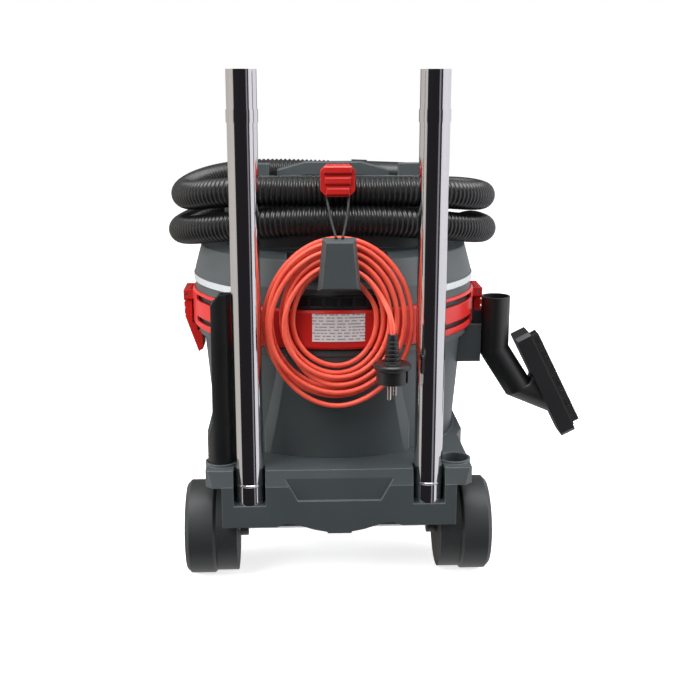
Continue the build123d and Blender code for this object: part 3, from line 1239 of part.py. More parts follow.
def nozzle_line():
    """Centre points of the brush nozzle: mouth, bend and the root of the brush head."""
    top = Vector(NOZZLE_X, NOZZLE_Y, NOZZLE_TOP)
    bend = Vector(NOZZLE_X, NOZZLE_Y, NOZZLE_BEND_Z)
    lean = radians(NOZZLE_LEAN)
    return top, bend, bend + Vector(sin(lean), 0, -cos(lean)) * NOZZLE_DROP


def brush_plane():
    """Frame of the brush head: its own X runs down its length, its own Z points out along the bristles."""
    lean = radians(BRUSH_LEAN)
    middle = (BRUSH_X, NOZZLE_Y, BRUSH_Z)
    return Plane(middle, x_dir=(sin(lean), 0, -cos(lean)), z_dir=(cos(lean), 0, sin(lean)))


def make_brush_nozzle():
    top, bend, root = nozzle_line()
    frame = brush_plane()
    head = frame * Pos(0, 0, BRUSH_T / 2) * Box(BRUSH_LENGTH, BRUSH_W, BRUSH_T)
    head = chamfer(head.edges().filter_by(lambda e: e.length < BRUSH_T + 1), 5)
    seat = frame.to_local_coords(root)
    neck_base = frame * Pos(seat.X + 18, 0, 1)
    neck = loft([Plane(root, x_dir=(0, 1, 0), z_dir=root - bend) * Circle(NOZZLE_R),
                 neck_base * Rot(0, 0, 90) * Ellipse(BRUSH_W / 2 - 3, 34)])
    tube = bar(NOZZLE_R, bend, top) + Pos(*bend) * Sphere(NOZZLE_R)
    tube += bar(NOZZLE_R, bend, root) + neck + head
    r = NOZZLE_R - NOZZLE_WALL
    above = (top + Vector(0, 0, 1))
    tube -= bar(r, bend, above) + Pos(*bend) * Sphere(r) + bar(r, bend, root)
    key = block(KEY_X, KEY_X + KEY_LENGTH, NOZZLE_Y - KEY_T / 2, NOZZLE_Y + KEY_T / 2,
                HOLDER_HIGH - KEY_DROP, HOLDER_HIGH + KEY_BRIDGE)
    bridge = block(KEY_X, NOZZLE_X - NOZZLE_R + 2, NOZZLE_Y - KEY_T / 2, NOZZLE_Y + KEY_T / 2,
                   HOLDER_HIGH + SKIN, HOLDER_HIGH + KEY_BRIDGE)
    return tube + key + bridge


def make_bristles():
    """Rows of stiff bristles standing on a thin bed over the brush head."""
    frame = brush_plane() * Pos(0, 0, BRUSH_T)
    bed = Pos(0, 0, BRISTLE_BED / 2) * Box(BRUSH_LENGTH - 14, BRUSH_W - 12, BRISTLE_BED)
    strands = []
    dx = (BRUSH_LENGTH - 20) / BRISTLE_COLUMNS
    dy = (BRUSH_W - 18) / (BRISTLE_ROWS - 1)
    for i in range(BRISTLE_COLUMNS):
        for j in range(BRISTLE_ROWS):
            x = (i - (BRISTLE_COLUMNS - 1) / 2) * dx
            y = (j - (BRISTLE_ROWS - 1) / 2) * dy
            strand = Box(BRISTLE_W, BRISTLE_W, BRISTLE_LENGTH + 1)
            strands.append(Pos(x, y, BRISTLE_BED + BRISTLE_LENGTH / 2 - 0.5) * strand)
    return frame * (bed.fuse(*strands))


gland, cord_exit = make_gland()
hose, hose_start, hose_end = make_hose()

parts = {
    "chassis": make_chassis(),
    "tank_bowl": make_tank_bowl(),
    "rear_axle": make_rear_axle(),
    "tank": make_tank(),
    "nozzle_holder": make_holder(),
    "suction_inlet": make_inlet(),
    "tank_gasket": ring_z(TANK_RIM_R - GASKET_INSET, TANK_RIM_R - GASKET_INSET - GASKET_W, TANK_RIM_Z,
                          HEAD_LOW),
    "head_ring": make_head_ring(),
    "head_cover": make_cover(),
    "silver_trim": make_silver_trim(),
    "exhaust_grille": make_grille(),
    "rating_plate": make_rating_plate(),
    "cord_hook": make_cord_hook(),
    "cord_gland": gland,
    "power_cord": make_power_cord(cord_exit),
    "power_plug": make_plug(),
    "plug_pins": make_plug_pins(),
    "suction_hose": hose,
    "hose_elbow": make_elbow(hose_start),
    "hose_cuff": make_cuff(hose_end),
    "strap_clip": make_clip(),
    "elastic_strap": make_strap(),
    "carry_handle": make_handle(),
    "filter_button": make_button(),
    "control_panel": make_panel(),
    "tool_socket": make_socket_face(),
    "socket_flap": make_socket_flap(),
    "flap_pin": make_flap_pin(),
    "power_knob": make_knob(KNOB_X, KNOB_R),
    "suction_dial": make_knob(DIAL_X, DIAL_R),
    "fan_case": make_fan_case(),
    "motor_can": make_motor_can(),
    "bearing_lower": make_bearing(MOTOR_LOW),
    "bearing_upper": make_bearing(MOTOR_HIGH - BEARING_T),
    "armature": make_armature(),
    "impeller": make_impeller(),
    "filter_cage": make_filter_cage(),
    "filter_cartridge": make_filter(),
    "filter_cap": make_filter_cap(),
    "float_valve": make_float(),
    "float_guide": make_float_guide(),
    "crevice_nozzle": make_crevice_nozzle(),
    "brush_nozzle": make_brush_nozzle(),
    "brush_bristles": make_bristles(),
}
for word, side in (("left", -1), ("right", 1)):
    parts["rear_wheel_" + word] = make_rear_wheel(side)
    parts["hub_cap_" + word] = make_hub_cap(side)
    parts["castor_fork_" + word] = make_castor_fork(side)
    parts["castor_axle_" + word] = make_castor_axle(side)
    parts["castor_wheel_" + word] = make_castor_wheel(side)
    parts["latch_" + word] = make_latch(side)
    parts["latch_pin_" + word] = make_latch_pin(side)
    parts["tube_" + word] = make_tube(side)

# The frame's origin is the middle of the machine's footprint on the floor, cords and hose left out.
LOOSE = ("power_cord", "power_plug", "plug_pins", "suction_hose", "hose_elbow", "hose_cuff")
boxes = [shape.bounding_box() for name, shape in parts.items() if name not in LOOSE]
shift_x = -(min(b.min.X for b in boxes) + max(b.max.X for b in boxes)) / 2
shift_y = -(min(b.min.Y for b in boxes) + max(b.max.Y for b in boxes)) / 2
shift_z = -min(b.min.Z for b in boxes)
SHIFT = (shift_x, shift_y, shift_z)
print("shift to the row frame", [round(v, 3) for v in SHIFT])

os.makedirs("parts", exist_ok=True)
for name, shape in parts.items():
    export_step(Pos(*SHIFT) * shape, "parts/" + name + ".step")
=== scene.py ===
import math
import bpy
import numpy as np
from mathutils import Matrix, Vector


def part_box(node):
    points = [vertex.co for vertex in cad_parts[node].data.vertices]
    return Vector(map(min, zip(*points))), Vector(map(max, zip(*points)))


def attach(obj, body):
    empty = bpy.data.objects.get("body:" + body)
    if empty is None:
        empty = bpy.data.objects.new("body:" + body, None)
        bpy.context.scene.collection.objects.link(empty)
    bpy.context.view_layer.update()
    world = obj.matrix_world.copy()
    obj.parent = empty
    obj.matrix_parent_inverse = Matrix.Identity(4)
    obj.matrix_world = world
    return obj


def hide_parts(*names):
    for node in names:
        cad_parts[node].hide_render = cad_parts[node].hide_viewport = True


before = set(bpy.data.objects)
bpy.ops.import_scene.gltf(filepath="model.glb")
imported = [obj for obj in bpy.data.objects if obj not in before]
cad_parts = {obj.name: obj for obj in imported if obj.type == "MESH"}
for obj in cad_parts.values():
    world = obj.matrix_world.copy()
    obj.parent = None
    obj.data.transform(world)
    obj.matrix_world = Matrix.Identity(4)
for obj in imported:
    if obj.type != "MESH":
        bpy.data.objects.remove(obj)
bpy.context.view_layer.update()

# Chassis: an injection-moulded ABS undercarriage with a bowl for the tank, a rear deck that
# holds the steel tubes, and a recessed step panel at the back. The tank, the head cover, the
# carry handle, the cord hook and the nozzle holder are moulded from the same slate-grey ABS.


def srgb(code):
    """Linear colour of an sRGB hex code."""
    channels = [int(code[i:i + 2], 16) / 255 for i in (1, 3, 5)]
    return tuple(c / 12.92 if c <= 0.04045 else ((c + 0.055) / 1.055) ** 2.4 for c in channels) + (1.0,)


def add(tree, kind, inputs=(), **settings):
    """Adds a node with its settings; inputs holds (socket, value or output socket) pairs."""
    made = tree.nodes.new(kind)
    for key, value in settings.items():
        setattr(made, key, value)
    for socket, value in inputs:
        if isinstance(value, bpy.types.NodeSocket):
            tree.links.new(value, made.inputs[socket])
        else:
            made.inputs[socket].default_value = value
    return made


def shader(name):
    """New material: its tree, its principled shader and its object coordinates in metres."""
    material = bpy.data.materials.new(name)
    material.use_nodes = True
    tree = material.node_tree
    return material, tree, tree.nodes["Principled BSDF"], add(tree, "ShaderNodeTexCoord").outputs["Object"]


FLAT_COSINE, EDGE_COSINE = 0.995, 0.8


def edge_light(tree, radius):
    """Share of a painted edge highlight: how far the rounded normal leaves the flat one within a radius in
    metres.
    """
    bevel = add(tree, "ShaderNodeBevel", [("Radius", radius)], samples=6)
    flat = add(tree, "ShaderNodeNewGeometry").outputs["True Normal"]
    dot = add(tree, "ShaderNodeVectorMath", [(0, bevel.outputs["Normal"]), (1, flat)],
              operation="DOT_PRODUCT")
    share = add(tree, "ShaderNodeMapRange", [("Value", dot.outputs["Value"]), ("From Min", FLAT_COSINE),
                                             ("From Max", EDGE_COSINE)])
    return bevel.outputs["Normal"], share.outputs["Result"]


CLOUD_MM = 70
# The cloud tone's share, and the share of the pale colour painted on edges as a highlight.
CLOUD_SHARE, EDGE_HIGHLIGHT_SHARE = 0.22, 0.75
GRAIN_STRENGTH = 0.5
SMOOTHER, ROUGHER = 0.06, 0.08
PLASTIC_IOR = 1.53


def moulded_plastic(name, body, cloud_and_highlight, rough, grain_mm, depth, edge_mm):
    """Moulded plastic: spark-eroded grain, slow cloudiness, and a highlight painted paler along the edges,
    where they catch the light.

    Lengths are in millimetres, and the grain is drawn coarser than the real grit so that it shows.
    """
    material, tree, surface, place = shader(name)
    cloud = add(tree, "ShaderNodeTexNoise", [("Vector", place), ("Scale", 1000 / CLOUD_MM),
                                             ("Detail", 3.0)])
    share = add(tree, "ShaderNodeMath", [(0, cloud.outputs["Fac"]), (1, CLOUD_SHARE)], operation="MULTIPLY")
    tone = add(tree, "ShaderNodeMixRGB", [("Fac", share.outputs["Value"]), ("Color1", srgb(body)),
                                          ("Color2", srgb(cloud_and_highlight))])
    normal, edge = edge_light(tree, edge_mm / 1000)
    # Painted highlight: the edges take the pale colour, standing in for light caught on the rounded edges.
    edge_highlight = add(tree, "ShaderNodeMath", [(0, edge), (1, EDGE_HIGHLIGHT_SHARE)], operation="MULTIPLY")
    colour = add(tree, "ShaderNodeMixRGB", [("Fac", edge_highlight.outputs["Value"]),
                                            ("Color1", tone.outputs["Color"]), ("Color2", srgb(cloud_and_highlight))])
    grain = add(tree, "ShaderNodeTexNoise", [("Vector", place), ("Scale", 1000 / grain_mm),
                                             ("Detail", 2.0)])
    bump = add(tree, "ShaderNodeBump", [("Height", grain.outputs["Fac"]), ("Distance", depth / 1000),
                                        ("Strength", GRAIN_STRENGTH), ("Normal", normal)])
    sheen = add(tree, "ShaderNodeMapRange", [("Value", grain.outputs["Fac"]), ("To Min", rough - SMOOTHER),
                                             ("To Max", rough + ROUGHER)])
    tree.links.new(colour.outputs["Color"], surface.inputs["Base Color"])
    tree.links.new(sheen.outputs["Result"], surface.inputs["Roughness"])
    tree.links.new(bump.outputs["Normal"], surface.inputs["Normal"])
    surface.inputs["IOR"].default_value = PLASTIC_IOR
    return material


def dress(material, *nodes):
    """Gives CAD nodes a finish."""
    for name in nodes:
        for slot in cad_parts[name].material_slots:
            slot.material = material


# Grained ABS, its edges painted pale as a highlight: grit of 0.5 mm drawn at 1.4 mm so that it shows.
slate_abs = moulded_plastic("slate_abs", "#393f41", "#6a7374", 0.46, 1.4, 0.03, 1.6)
dress(slate_abs, "chassis", "tank_bowl", "tank", "nozzle_holder", "cord_hook", "head_cover", "carry_handle")

# Rear axle and wheels: a steel rod under the deck carries two hollow moulded wheels with dished,
# spoked outer faces. Press-on caps hold them, the treads are dulled by the floor, and zinc plating
# gives the rod a soft grey shine.
wheel_pp = moulded_plastic("wheel_polypropylene", "#1f2223", "#4d5354", 0.5, 1.4, 0.03, 1.4)
dress(wheel_pp, "rear_wheel_left", "rear_wheel_right", "hub_cap_left", "hub_cap_right")


STREAKS_A_METRE = 6.0
STREAK_STRENGTH = 0.3
SMOOTH_SHARE, ROUGH_SHARE = 0.6, 1.5


def bare_metal(name, tint, rough, streak_mm, depth):
    """Turned or drawn steel: fine streaks along Z in its roughness and bump."""
    material, tree, surface, place = shader(name)
    fine = 1000 / streak_mm
    along = add(tree, "ShaderNodeMapping", [("Vector", place), ("Scale", (fine, fine, STREAKS_A_METRE))])
    streak = add(tree, "ShaderNodeTexNoise", [("Vector", along.outputs["Vector"]), ("Scale", 1.0),
                                              ("Detail", 3.0)])
    shine = add(tree, "ShaderNodeMapRange", [("Value", streak.outputs["Fac"]),
                                             ("To Min", rough * SMOOTH_SHARE),
                                             ("To Max", rough * ROUGH_SHARE)])
    bump = add(tree, "ShaderNodeBump", [("Height", streak.outputs["Fac"]), ("Distance", depth / 1000),
                                        ("Strength", STREAK_STRENGTH)])
    tree.links.new(shine.outputs["Result"], surface.inputs["Roughness"])
    tree.links.new(bump.outputs["Normal"], surface.inputs["Normal"])
    surface.inputs["Base Color"].default_value = srgb(tint)
    surface.inputs["Metallic"].default_value = 1.0
    return material


zinc_steel = bare_metal("zinc_plated_steel", "#b9bcbd", 0.32, 0.6, 0.02)
dress(zinc_steel, "rear_axle", "castor_axle_left", "castor_axle_right", "latch_pin_left", "latch_pin_right",
      "flap_pin", "motor_can", "armature", "bearing_lower", "bearing_upper")

# Castors: two swivelling forks of slate ABS under the front corners, each with a small wheel on a
# steel axle. The soft treads are matt black rubber, and so is the gasket on the tank's rim.
tread_rubber = moulded_plastic("castor_rubber", "#2b2c2c", "#4a4b4a", 0.66, 1.2, 0.08, 1.0)
dress(slate_abs, "castor_fork_left", "castor_fork_right")
dress(tread_rubber, "castor_wheel_left", "castor_wheel_right", "tank_gasket")

# Suction inlet: a black moulded flange screwed to the tank front. The same glossy black plastic
# makes the exhaust grille, panel, plug, hose ends and nozzles.
black_abs = moulded_plastic("black_abs", "#101112", "#36383a", 0.36, 1.0, 0.01, 1.2)
dress(black_abs, "suction_inlet", "exhaust_grille", "control_panel", "tool_socket", "socket_flap",
      "power_knob", "suction_dial", "cord_gland", "power_plug", "hose_elbow", "hose_cuff",
      "crevice_nozzle", "brush_nozzle", "fan_case", "filter_cage", "filter_cap", "float_guide", "impeller")

# Head ring: the red band that clamps on the tank rim, with air slots beside the tubes whose floors
# are painted dark as shade. Its latches, the strap clip and the filter button are moulded from the same
# semi-gloss red ABS.
RED_ABS = ("#bd1714", "#e8483f", 0.32, 1.4, 0.012, 1.3)
red_abs = moulded_plastic("red_abs", *RED_ABS)
dress(red_abs, "latch_left", "latch_right", "strap_clip", "filter_button")
tank_low, tank_high = (np.array(c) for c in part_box("tank"))
ROW_X = (tank_low[0] + tank_high[0]) / 2 * 1000
ROW_Y = (tank_low[1] + tank_high[1]) / 2 * 1000
RING_R, SLOT_DEPTH = 185.0, 5.0
SLOTS_LOW, SLOTS_HIGH = 300.0, 338.5
SLOT_MIDDLE, SLOT_HALF = (SLOTS_LOW + SLOTS_HIGH) / 2, (SLOTS_HIGH - SLOTS_LOW) / 2
FLOOR_SHARE = 0.4
# Painted shade: the near-black colour given to the slot floors.
SLOT_PAINTED_SHADE = "#140607"


def red_with_painted_slot_shade(name):
    """The ring's red, with painted shade where the reach from the axis is a slot floor's and the height a
    slot's.
    """
    material = moulded_plastic(name, *RED_ABS)
    tree = material.node_tree
    place = add(tree, "ShaderNodeTexCoord").outputs["Object"]
    off = add(tree, "ShaderNodeVectorMath", [(0, place), (1, (ROW_X / 1000, ROW_Y / 1000, 0.0))],
              operation="SUBTRACT")
    axes = add(tree, "ShaderNodeSeparateXYZ", [("Vector", off.outputs["Vector"])]).outputs
    flat = add(tree, "ShaderNodeCombineXYZ", [("X", axes["X"]), ("Y", axes["Y"])])
    reach = add(tree, "ShaderNodeVectorMath", [(0, flat.outputs["Vector"])], operation="LENGTH")
    deep = add(tree, "ShaderNodeMath", [(0, reach.outputs["Value"]), (1, (RING_R - SLOT_DEPTH) / 1000),
                                        (2, SLOT_DEPTH * FLOOR_SHARE / 1000)], operation="COMPARE")
    level = add(tree, "ShaderNodeMath", [(0, axes["Z"]), (1, SLOT_MIDDLE / 1000), (2, SLOT_HALF / 1000)],
                operation="COMPARE")
    both = add(tree, "ShaderNodeMath", [(0, deep.outputs["Value"]), (1, level.outputs["Value"])],
               operation="MULTIPLY")
    base = tree.nodes["Principled BSDF"].inputs["Base Color"]
    painted = add(tree, "ShaderNodeMixRGB", [("Fac", both.outputs["Value"]),
                                             ("Color1", base.links[0].from_socket),
                                             ("Color2", srgb(SLOT_PAINTED_SHADE))])
    tree.links.new(painted.outputs["Color"], base)
    return material


# The head ring's red, with shade painted on its slot floors.
dress(red_with_painted_slot_shade("red_abs_painted_slot_shade"), "head_ring")

# Silver trim: a thin plastic bead on the flanks of the cover, above the red ring. Its metallic paint
# gives a soft, pale shine.
silver_paint = moulded_plastic("silver_paint", "#c6cbce", "#e6e9eb", 0.28, 0.9, 0.02, 0.8)
silver_paint.node_tree.nodes["Principled BSDF"].inputs["Metallic"].default_value = 0.35
dress(silver_paint, "silver_trim")

# Rating plate: a label of satin white polyester film, stuck round the back of the red ring and
# printed with rows of broken grey rules.
PLATE_ROWS = 9
ROW_GAP, INK_FROM, INK_SHARE = 0.62, 0.45, 0.7
DASHES_A_METRE = 230.0
FILM_WHITE, INK_GREY = "#d8d1d3", "#5f5a60"
plate_low, plate_high = (np.array(c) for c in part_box("rating_plate"))


def ruled_film(name):
    """White film with ruled grey lines: rows by height, broken into dashes along the plate by noise."""
    material, tree, surface, place = shader(name)
    split = add(tree, "ShaderNodeSeparateXYZ", [("Vector", place)])
    row = add(tree, "ShaderNodeMapRange", [("Value", split.outputs["Z"]), ("From Min", plate_low[2]),
                                           ("From Max", plate_high[2]), ("To Max", float(PLATE_ROWS))])
    part = add(tree, "ShaderNodeMath", [(0, row.outputs["Result"])], operation="FRACT")
    line = add(tree, "ShaderNodeMath", [(0, part.outputs["Value"]), (1, ROW_GAP)], operation="GREATER_THAN")
    step = add(tree, "ShaderNodeMath", [(0, row.outputs["Result"])], operation="FLOOR")
    spot = add(tree, "ShaderNodeCombineXYZ", [("X", split.outputs["X"]), ("Y", step.outputs["Value"])])
    dash = add(tree, "ShaderNodeTexNoise", [("Vector", spot.outputs["Vector"]), ("Scale", DASHES_A_METRE),
                                            ("Detail", 0.0)])
    ink = add(tree, "ShaderNodeMath", [(0, dash.outputs["Fac"]), (1, INK_FROM)], operation="GREATER_THAN")
    both = add(tree, "ShaderNodeMath", [(0, line.outputs["Value"]), (1, ink.outputs["Value"])],
               operation="MULTIPLY")
    faded = add(tree, "ShaderNodeMath", [(0, both.outputs["Value"]), (1, INK_SHARE)], operation="MULTIPLY")
    colour = add(tree, "ShaderNodeMixRGB", [("Fac", faded.outputs["Value"]), ("Color1", srgb(FILM_WHITE)),
                                            ("Color2", srgb(INK_GREY))])
    tree.links.new(colour.outputs["Color"], surface.inputs["Base Color"])
    surface.inputs["Roughness"].default_value = 0.35
    return material


dress(ruled_film("polyester_label"), "rating_plate")

# Filter and float inside the tank: a paper cartridge on a cage, matt and cream-coloured, and a float
# moulded from pale, waxy polyethylene.
pleat_paper = moulded_plastic("filter_paper", "#d3c7a8", "#e6dcc4", 0.8, 2.0, 0.15, 0.6)
float_pe = moulded_plastic("float_polyethylene", "#d8d6cd", "#f0eee6", 0.5, 1.5, 0.04, 1.0)
dress(pleat_paper, "filter_cartridge")
dress(float_pe, "float_valve")

# Mains lead: a coral-red PVC cable, hung in loose turns on the cord hook and ending in a black
# two-pin plug with bright nickel-plated pins. It leaves the cover through a ribbed gland.
CORD_R = 3.0
COIL_X, COIL_Y, COIL_Z = -1.0, -186.5, 331.0
COIL_A, COIL_B = 44.0, 53.2
COIL_STEP_A, COIL_STEP_B = 7.75, 8.5
COIL_LAYER = 8.0
OUT_TURNS, IN_TURNS = 5, 4
TURN_POINTS = 16
GLAND_TIP = (-34.0, -153.0, 388.0)
PLUG_TOP = (60.0, -221.5, 320.0)
LEAD_STRAIGHT = 10.0
LEAD_RISE = (11.0, -179.0, 384.6)
LEAD_DROP = [(28.0, -197.0, 385.0), (45.0, -201.5, 366.0), (56.0, -215.0, 346.0)]
FIRST_POINT = 3
CROSSING_SWELL = 0.3
SIDE_SWING, RIGHT_EASE = 1.5, 0.6
SHADE_MM, DRAW_MM, DRAW_DEPTH = 40, 1.5, 0.04
CORAL_DEEP, CORAL_PALE = "#e2422e", "#fa6e57"
# How each hand-wound turn hangs, in millimetres: out at the right, down at the bottom, out at the
# left, and towards the viewer at the left, where some turns cross over others.
SLACK = ((0.0, 0.0, 5.0, 0.0), (0.5, 0.5, 5.5, 0.0), (1.0, 1.5, 2.0, -4.0), (2.0, 2.5, 8.0, 0.0),
         (3.0, 4.0, 9.5, 0.0), (4.0, 10.0, 3.0, 0.0), (2.5, 2.0, 9.5, 6.5), (1.0, 1.0, -4.0, 0.0),
         (0.0, 0.0, 8.0, 8.0))


def to_row(points):
    """Machine millimetres, measured from the tank's axis on the floor, to the frame's metres."""
    return (np.asarray(points, float) + (ROW_X, ROW_Y, 0.0)) / 1000


def coil_point(turns, out, layer):
    """Point on an ellipse, clockwise from the top, that grows a step a turn and hangs by its slack."""
    angle = 2 * math.pi * turns
    across, hang = math.sin(angle), (1 - math.cos(angle)) / 2
    a, b = COIL_A + COIL_STEP_A * out, COIL_B + COIL_STEP_B * out
    right, low, left, near = SLACK[min(int(turns), len(SLACK) - 1)]
    x = a * across + SIDE_SWING * hang * (right * max(across, 0) ** 2 - left * max(-across, 0) ** 2)
    y = COIL_LAYER * layer + near * max(-across, 0)
    z = b * math.cos(angle) - low * hang ** 2 * (1 - RIGHT_EASE * max(across, 0))
    return (COIL_X + x, COIL_Y - y, COIL_Z + z)


def cord_route():
    """Control points of the lead: gland, inner layer outwards, outer layer inwards, down to the plug."""
    x, y, z = GLAND_TIP
    route = [GLAND_TIP, (x + LEAD_STRAIGHT, y, z), LEAD_RISE]
    for i in range(FIRST_POINT, OUT_TURNS * TURN_POINTS + 1):
        turns = i / TURN_POINTS
        route.append(coil_point(turns, turns, 0))
    for i in range(1, TURN_POINTS // 2):
        share = 2 * i / TURN_POINTS
        swell = CROSSING_SWELL * math.sin(math.pi * share)
        route.append(coil_point(OUT_TURNS + share / 2, OUT_TURNS + swell, share))
    for i in range(TURN_POINTS // 2, IN_TURNS * TURN_POINTS + 1):
        turns = i / TURN_POINTS
        route.append(coil_point(OUT_TURNS + turns, OUT_TURNS + 0.5 - turns, 1))
    x, y, z = PLUG_TOP
    return route + LEAD_DROP + [(x, y, z + LEAD_STRAIGHT), PLUG_TOP]


def route_curve(name, points):
    """Open NURBS curve of order 3 with the route's points as its control points."""
    curve = bpy.data.curves.new(name, "CURVE")
    curve.dimensions = "3D"
    spline = curve.splines.new("NURBS")
    spline.points.add(len(points) - 1)
    spline.points.foreach_set("co", np.c_[points, np.ones(len(points))].ravel())
    spline.order_u = 3
    spline.use_endpoint_u = True
    spline.resolution_u = 6
    piece = bpy.data.objects.new(name, curve)
    bpy.context.collection.objects.link(piece)
    return piece


def pvc_cable(name):
    """Extruded PVC: smooth, with faint draw streaks and slow changes of shade along it."""
    material, tree, surface, place = shader(name)
    cloud = add(tree, "ShaderNodeTexNoise", [("Vector", place), ("Scale", 1000 / SHADE_MM),
                                             ("Detail", 2.0)])
    colour = add(tree, "ShaderNodeMixRGB", [("Fac", cloud.outputs["Fac"]), ("Color1", srgb(CORAL_DEEP)),
                                            ("Color2", srgb(CORAL_PALE))])
    fine = add(tree, "ShaderNodeTexNoise", [("Vector", place), ("Scale", 1000 / DRAW_MM)])
    bump = add(tree, "ShaderNodeBump", [("Height", fine.outputs["Fac"]), ("Distance", DRAW_DEPTH / 1000),
                                        ("Strength", 0.4)])
    tree.links.new(colour.outputs["Color"], surface.inputs["Base Color"])
    tree.links.new(bump.outputs["Normal"], surface.inputs["Normal"])
    surface.inputs["Roughness"].default_value = 0.38
    return material


cable = route_curve("mains_lead", to_row(cord_route()))
cable.data.bevel_depth = CORD_R / 1000
cable.data.bevel_resolution = 3
cable.data.use_fill_caps = True
cable.data.materials.append(pvc_cable("red_pvc_cable"))
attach(cable, "base")
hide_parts("power_cord")
plug_metal = bare_metal("nickel_plated_brass", "#cfcec8", 0.25, 0.5, 0.01)
dress(plug_metal, "plug_pins")

# Suction hose: a glossy black ribbed polyethylene hose from the front inlet's elbow, two laps round
# the head and over the lid, where it ends in a tool cuff.
HOSE_R, HOSE_ROOT_R = 17.75, 15.9
RIB_PITCH = 6.0
RIB_STEPS = 7
HOSE_SIDES = 28
INLET_FACE_Y = 215.2
INLET_Z = 232.0
HOSE_TURN_POINTS = 16
PLAIN_RIBS = 5
CREST_MIDDLE, CREST_SWING = 0.5, 0.75
# The wound laps: where the hose climbs from the lower lap to the upper, in turns; half width, half
# depth and middle of the lower lap with their change to the upper one; and each lap's height at the
# front with its rise at the back and at the sides.
CLIMB_FROM, CLIMB_SPAN = 0.75, 0.35
LOOP_SIDE, LOOP_DEPTH, LOOP_MIDDLE = (201.0, -9.0), (173.0, -13.0), (12.0, 14.0)
LOW_LAP, HIGH_LAP = (428.0, 14.0, -24.0), (446.0, 24.0, -2.0)


def hose_loop_point(turn):
    """Centre of the wound hose, a climbing ellipse: turn 0 is the front, 0.25 the right, 0.5 the back."""
    angle = 2 * math.pi * turn
    share = min(max((turn - CLIMB_FROM) / CLIMB_SPAN, 0.0), 1.0)
    lap = share * share * (3 - 2 * share)
    side, depth, middle = (size + change * lap for size, change in (LOOP_SIDE, LOOP_DEPTH, LOOP_MIDDLE))
    back, across = (1 - math.cos(angle)) / 2, math.sin(angle) ** 2
    low, high = (front + rise * back + swell * across for front, rise, swell in (LOW_LAP, HIGH_LAP))
    return (side * math.sin(angle), middle + depth * math.cos(angle), low + (high - low) * lap)


def hose_route():
    """Control points of the hose: up from the elbow, round the head, then over the lid."""
    start = [(26.0, INLET_FACE_Y, INLET_Z + 26.0), (46.0, INLET_FACE_Y, INLET_Z + 46.0),
             (72.0, 209.0, 303.0), (101.0, 195.0, 330.0), (130.0, 174.0, 356.0), (156.0, 145.0, 379.0),
             (177.0, 107.0, 397.0)]
    first, last = 0.2, 1.125
    count = round((last - first) * HOSE_TURN_POINTS)
    loops = [hose_loop_point(first + (last - first) * i / count) for i in range(count + 1)]
    end = [(168.0, 103.0, 453.0), (187.0, 56.0, 455.0), (193.5, 5.0, 456.0), (188.5, -44.0, 458.5),
           (168.0, -87.0, 462.5), (133.0, -118.0, 468.0), (86.0, -134.5, 473.0), (30.0, -138.0, 471.5),
           (-59.5, -137.3, 473.0), (-110.7, -127.1, 473.5), (-154.1, -98.1, 467.0), (-183.1, -54.7, 460.5),
           (-193.3, -3.5, 460.0), (-183.1, 47.7, 466.0), (-154.1, 91.1, 473.0), (-110.7, 120.1, 476.5),
           (-59.5, 130.3, 476.0), (-20.0, 130.0, 474.5), (6.0, 128.5, 473.5), (30.0, 127.0, 472.7)]
    return start + loops + end


def read_line(curve):
    """Points along a curve, as its own evaluation gives them."""
    curve.data.resolution_u = 24
    mesh = bpy.data.meshes.new_from_object(curve.evaluated_get(bpy.context.evaluated_depsgraph_get()))
    points = np.empty(3 * len(mesh.vertices))
    mesh.vertices.foreach_get("co", points)
    bpy.data.meshes.remove(mesh)
    return points.reshape(-1, 3)


def even_line(points, count):
    """The same line at even steps, with unit directions and its length."""
    run = np.r_[0, np.cumsum(np.linalg.norm(np.diff(points, axis=0), axis=1))]
    goal = np.linspace(0, run[-1], count)
    line = np.stack([np.interp(goal, run, points[:, k]) for k in range(3)], axis=1)
    ahead = np.gradient(line, axis=0)
    return line, ahead / np.linalg.norm(ahead, axis=1)[:, None], run[-1]


def grid_mesh(name, grid):
    """Mesh of a (rows, columns, 3) grid; the columns close round, and caps fill the first and last row."""
    rows, columns = grid.shape[:2]
    index = np.arange(rows * columns).reshape(rows, columns)
    across = np.roll(index, -1, axis=1)
    quads = np.stack([index[:-1], across[:-1], across[1:], index[1:]], axis=-1).reshape(-1, 4)
    faces = quads.tolist() + [index[0, ::-1].tolist(), index[-1].tolist()]
    mesh = bpy.data.meshes.new(name)
    mesh.from_pydata(grid.reshape(-1, 3).tolist(), [], faces)
    mesh.polygons.foreach_set("use_smooth", np.ones(len(mesh.polygons), bool))
    piece = bpy.data.objects.new(name, mesh)
    bpy.context.collection.objects.link(piece)
    return piece


def tube_grid(line, ahead, radii, sides):
    """Rings round a line: an upright and a sideways direction at each point, scaled by its radius."""
    up = np.array((0.0, 0.0, 1.0)) - ahead * ahead[:, 2:3]
    up /= np.linalg.norm(up, axis=1)[:, None]
    aside = np.cross(ahead, up)
    turn = np.linspace(0, 2 * np.pi, sides, endpoint=False)
    ring = up[:, None] * np.cos(turn)[None, :, None] + aside[:, None] * np.sin(turn)[None, :, None]
    return line[:, None] + ring * radii[:, None, None]


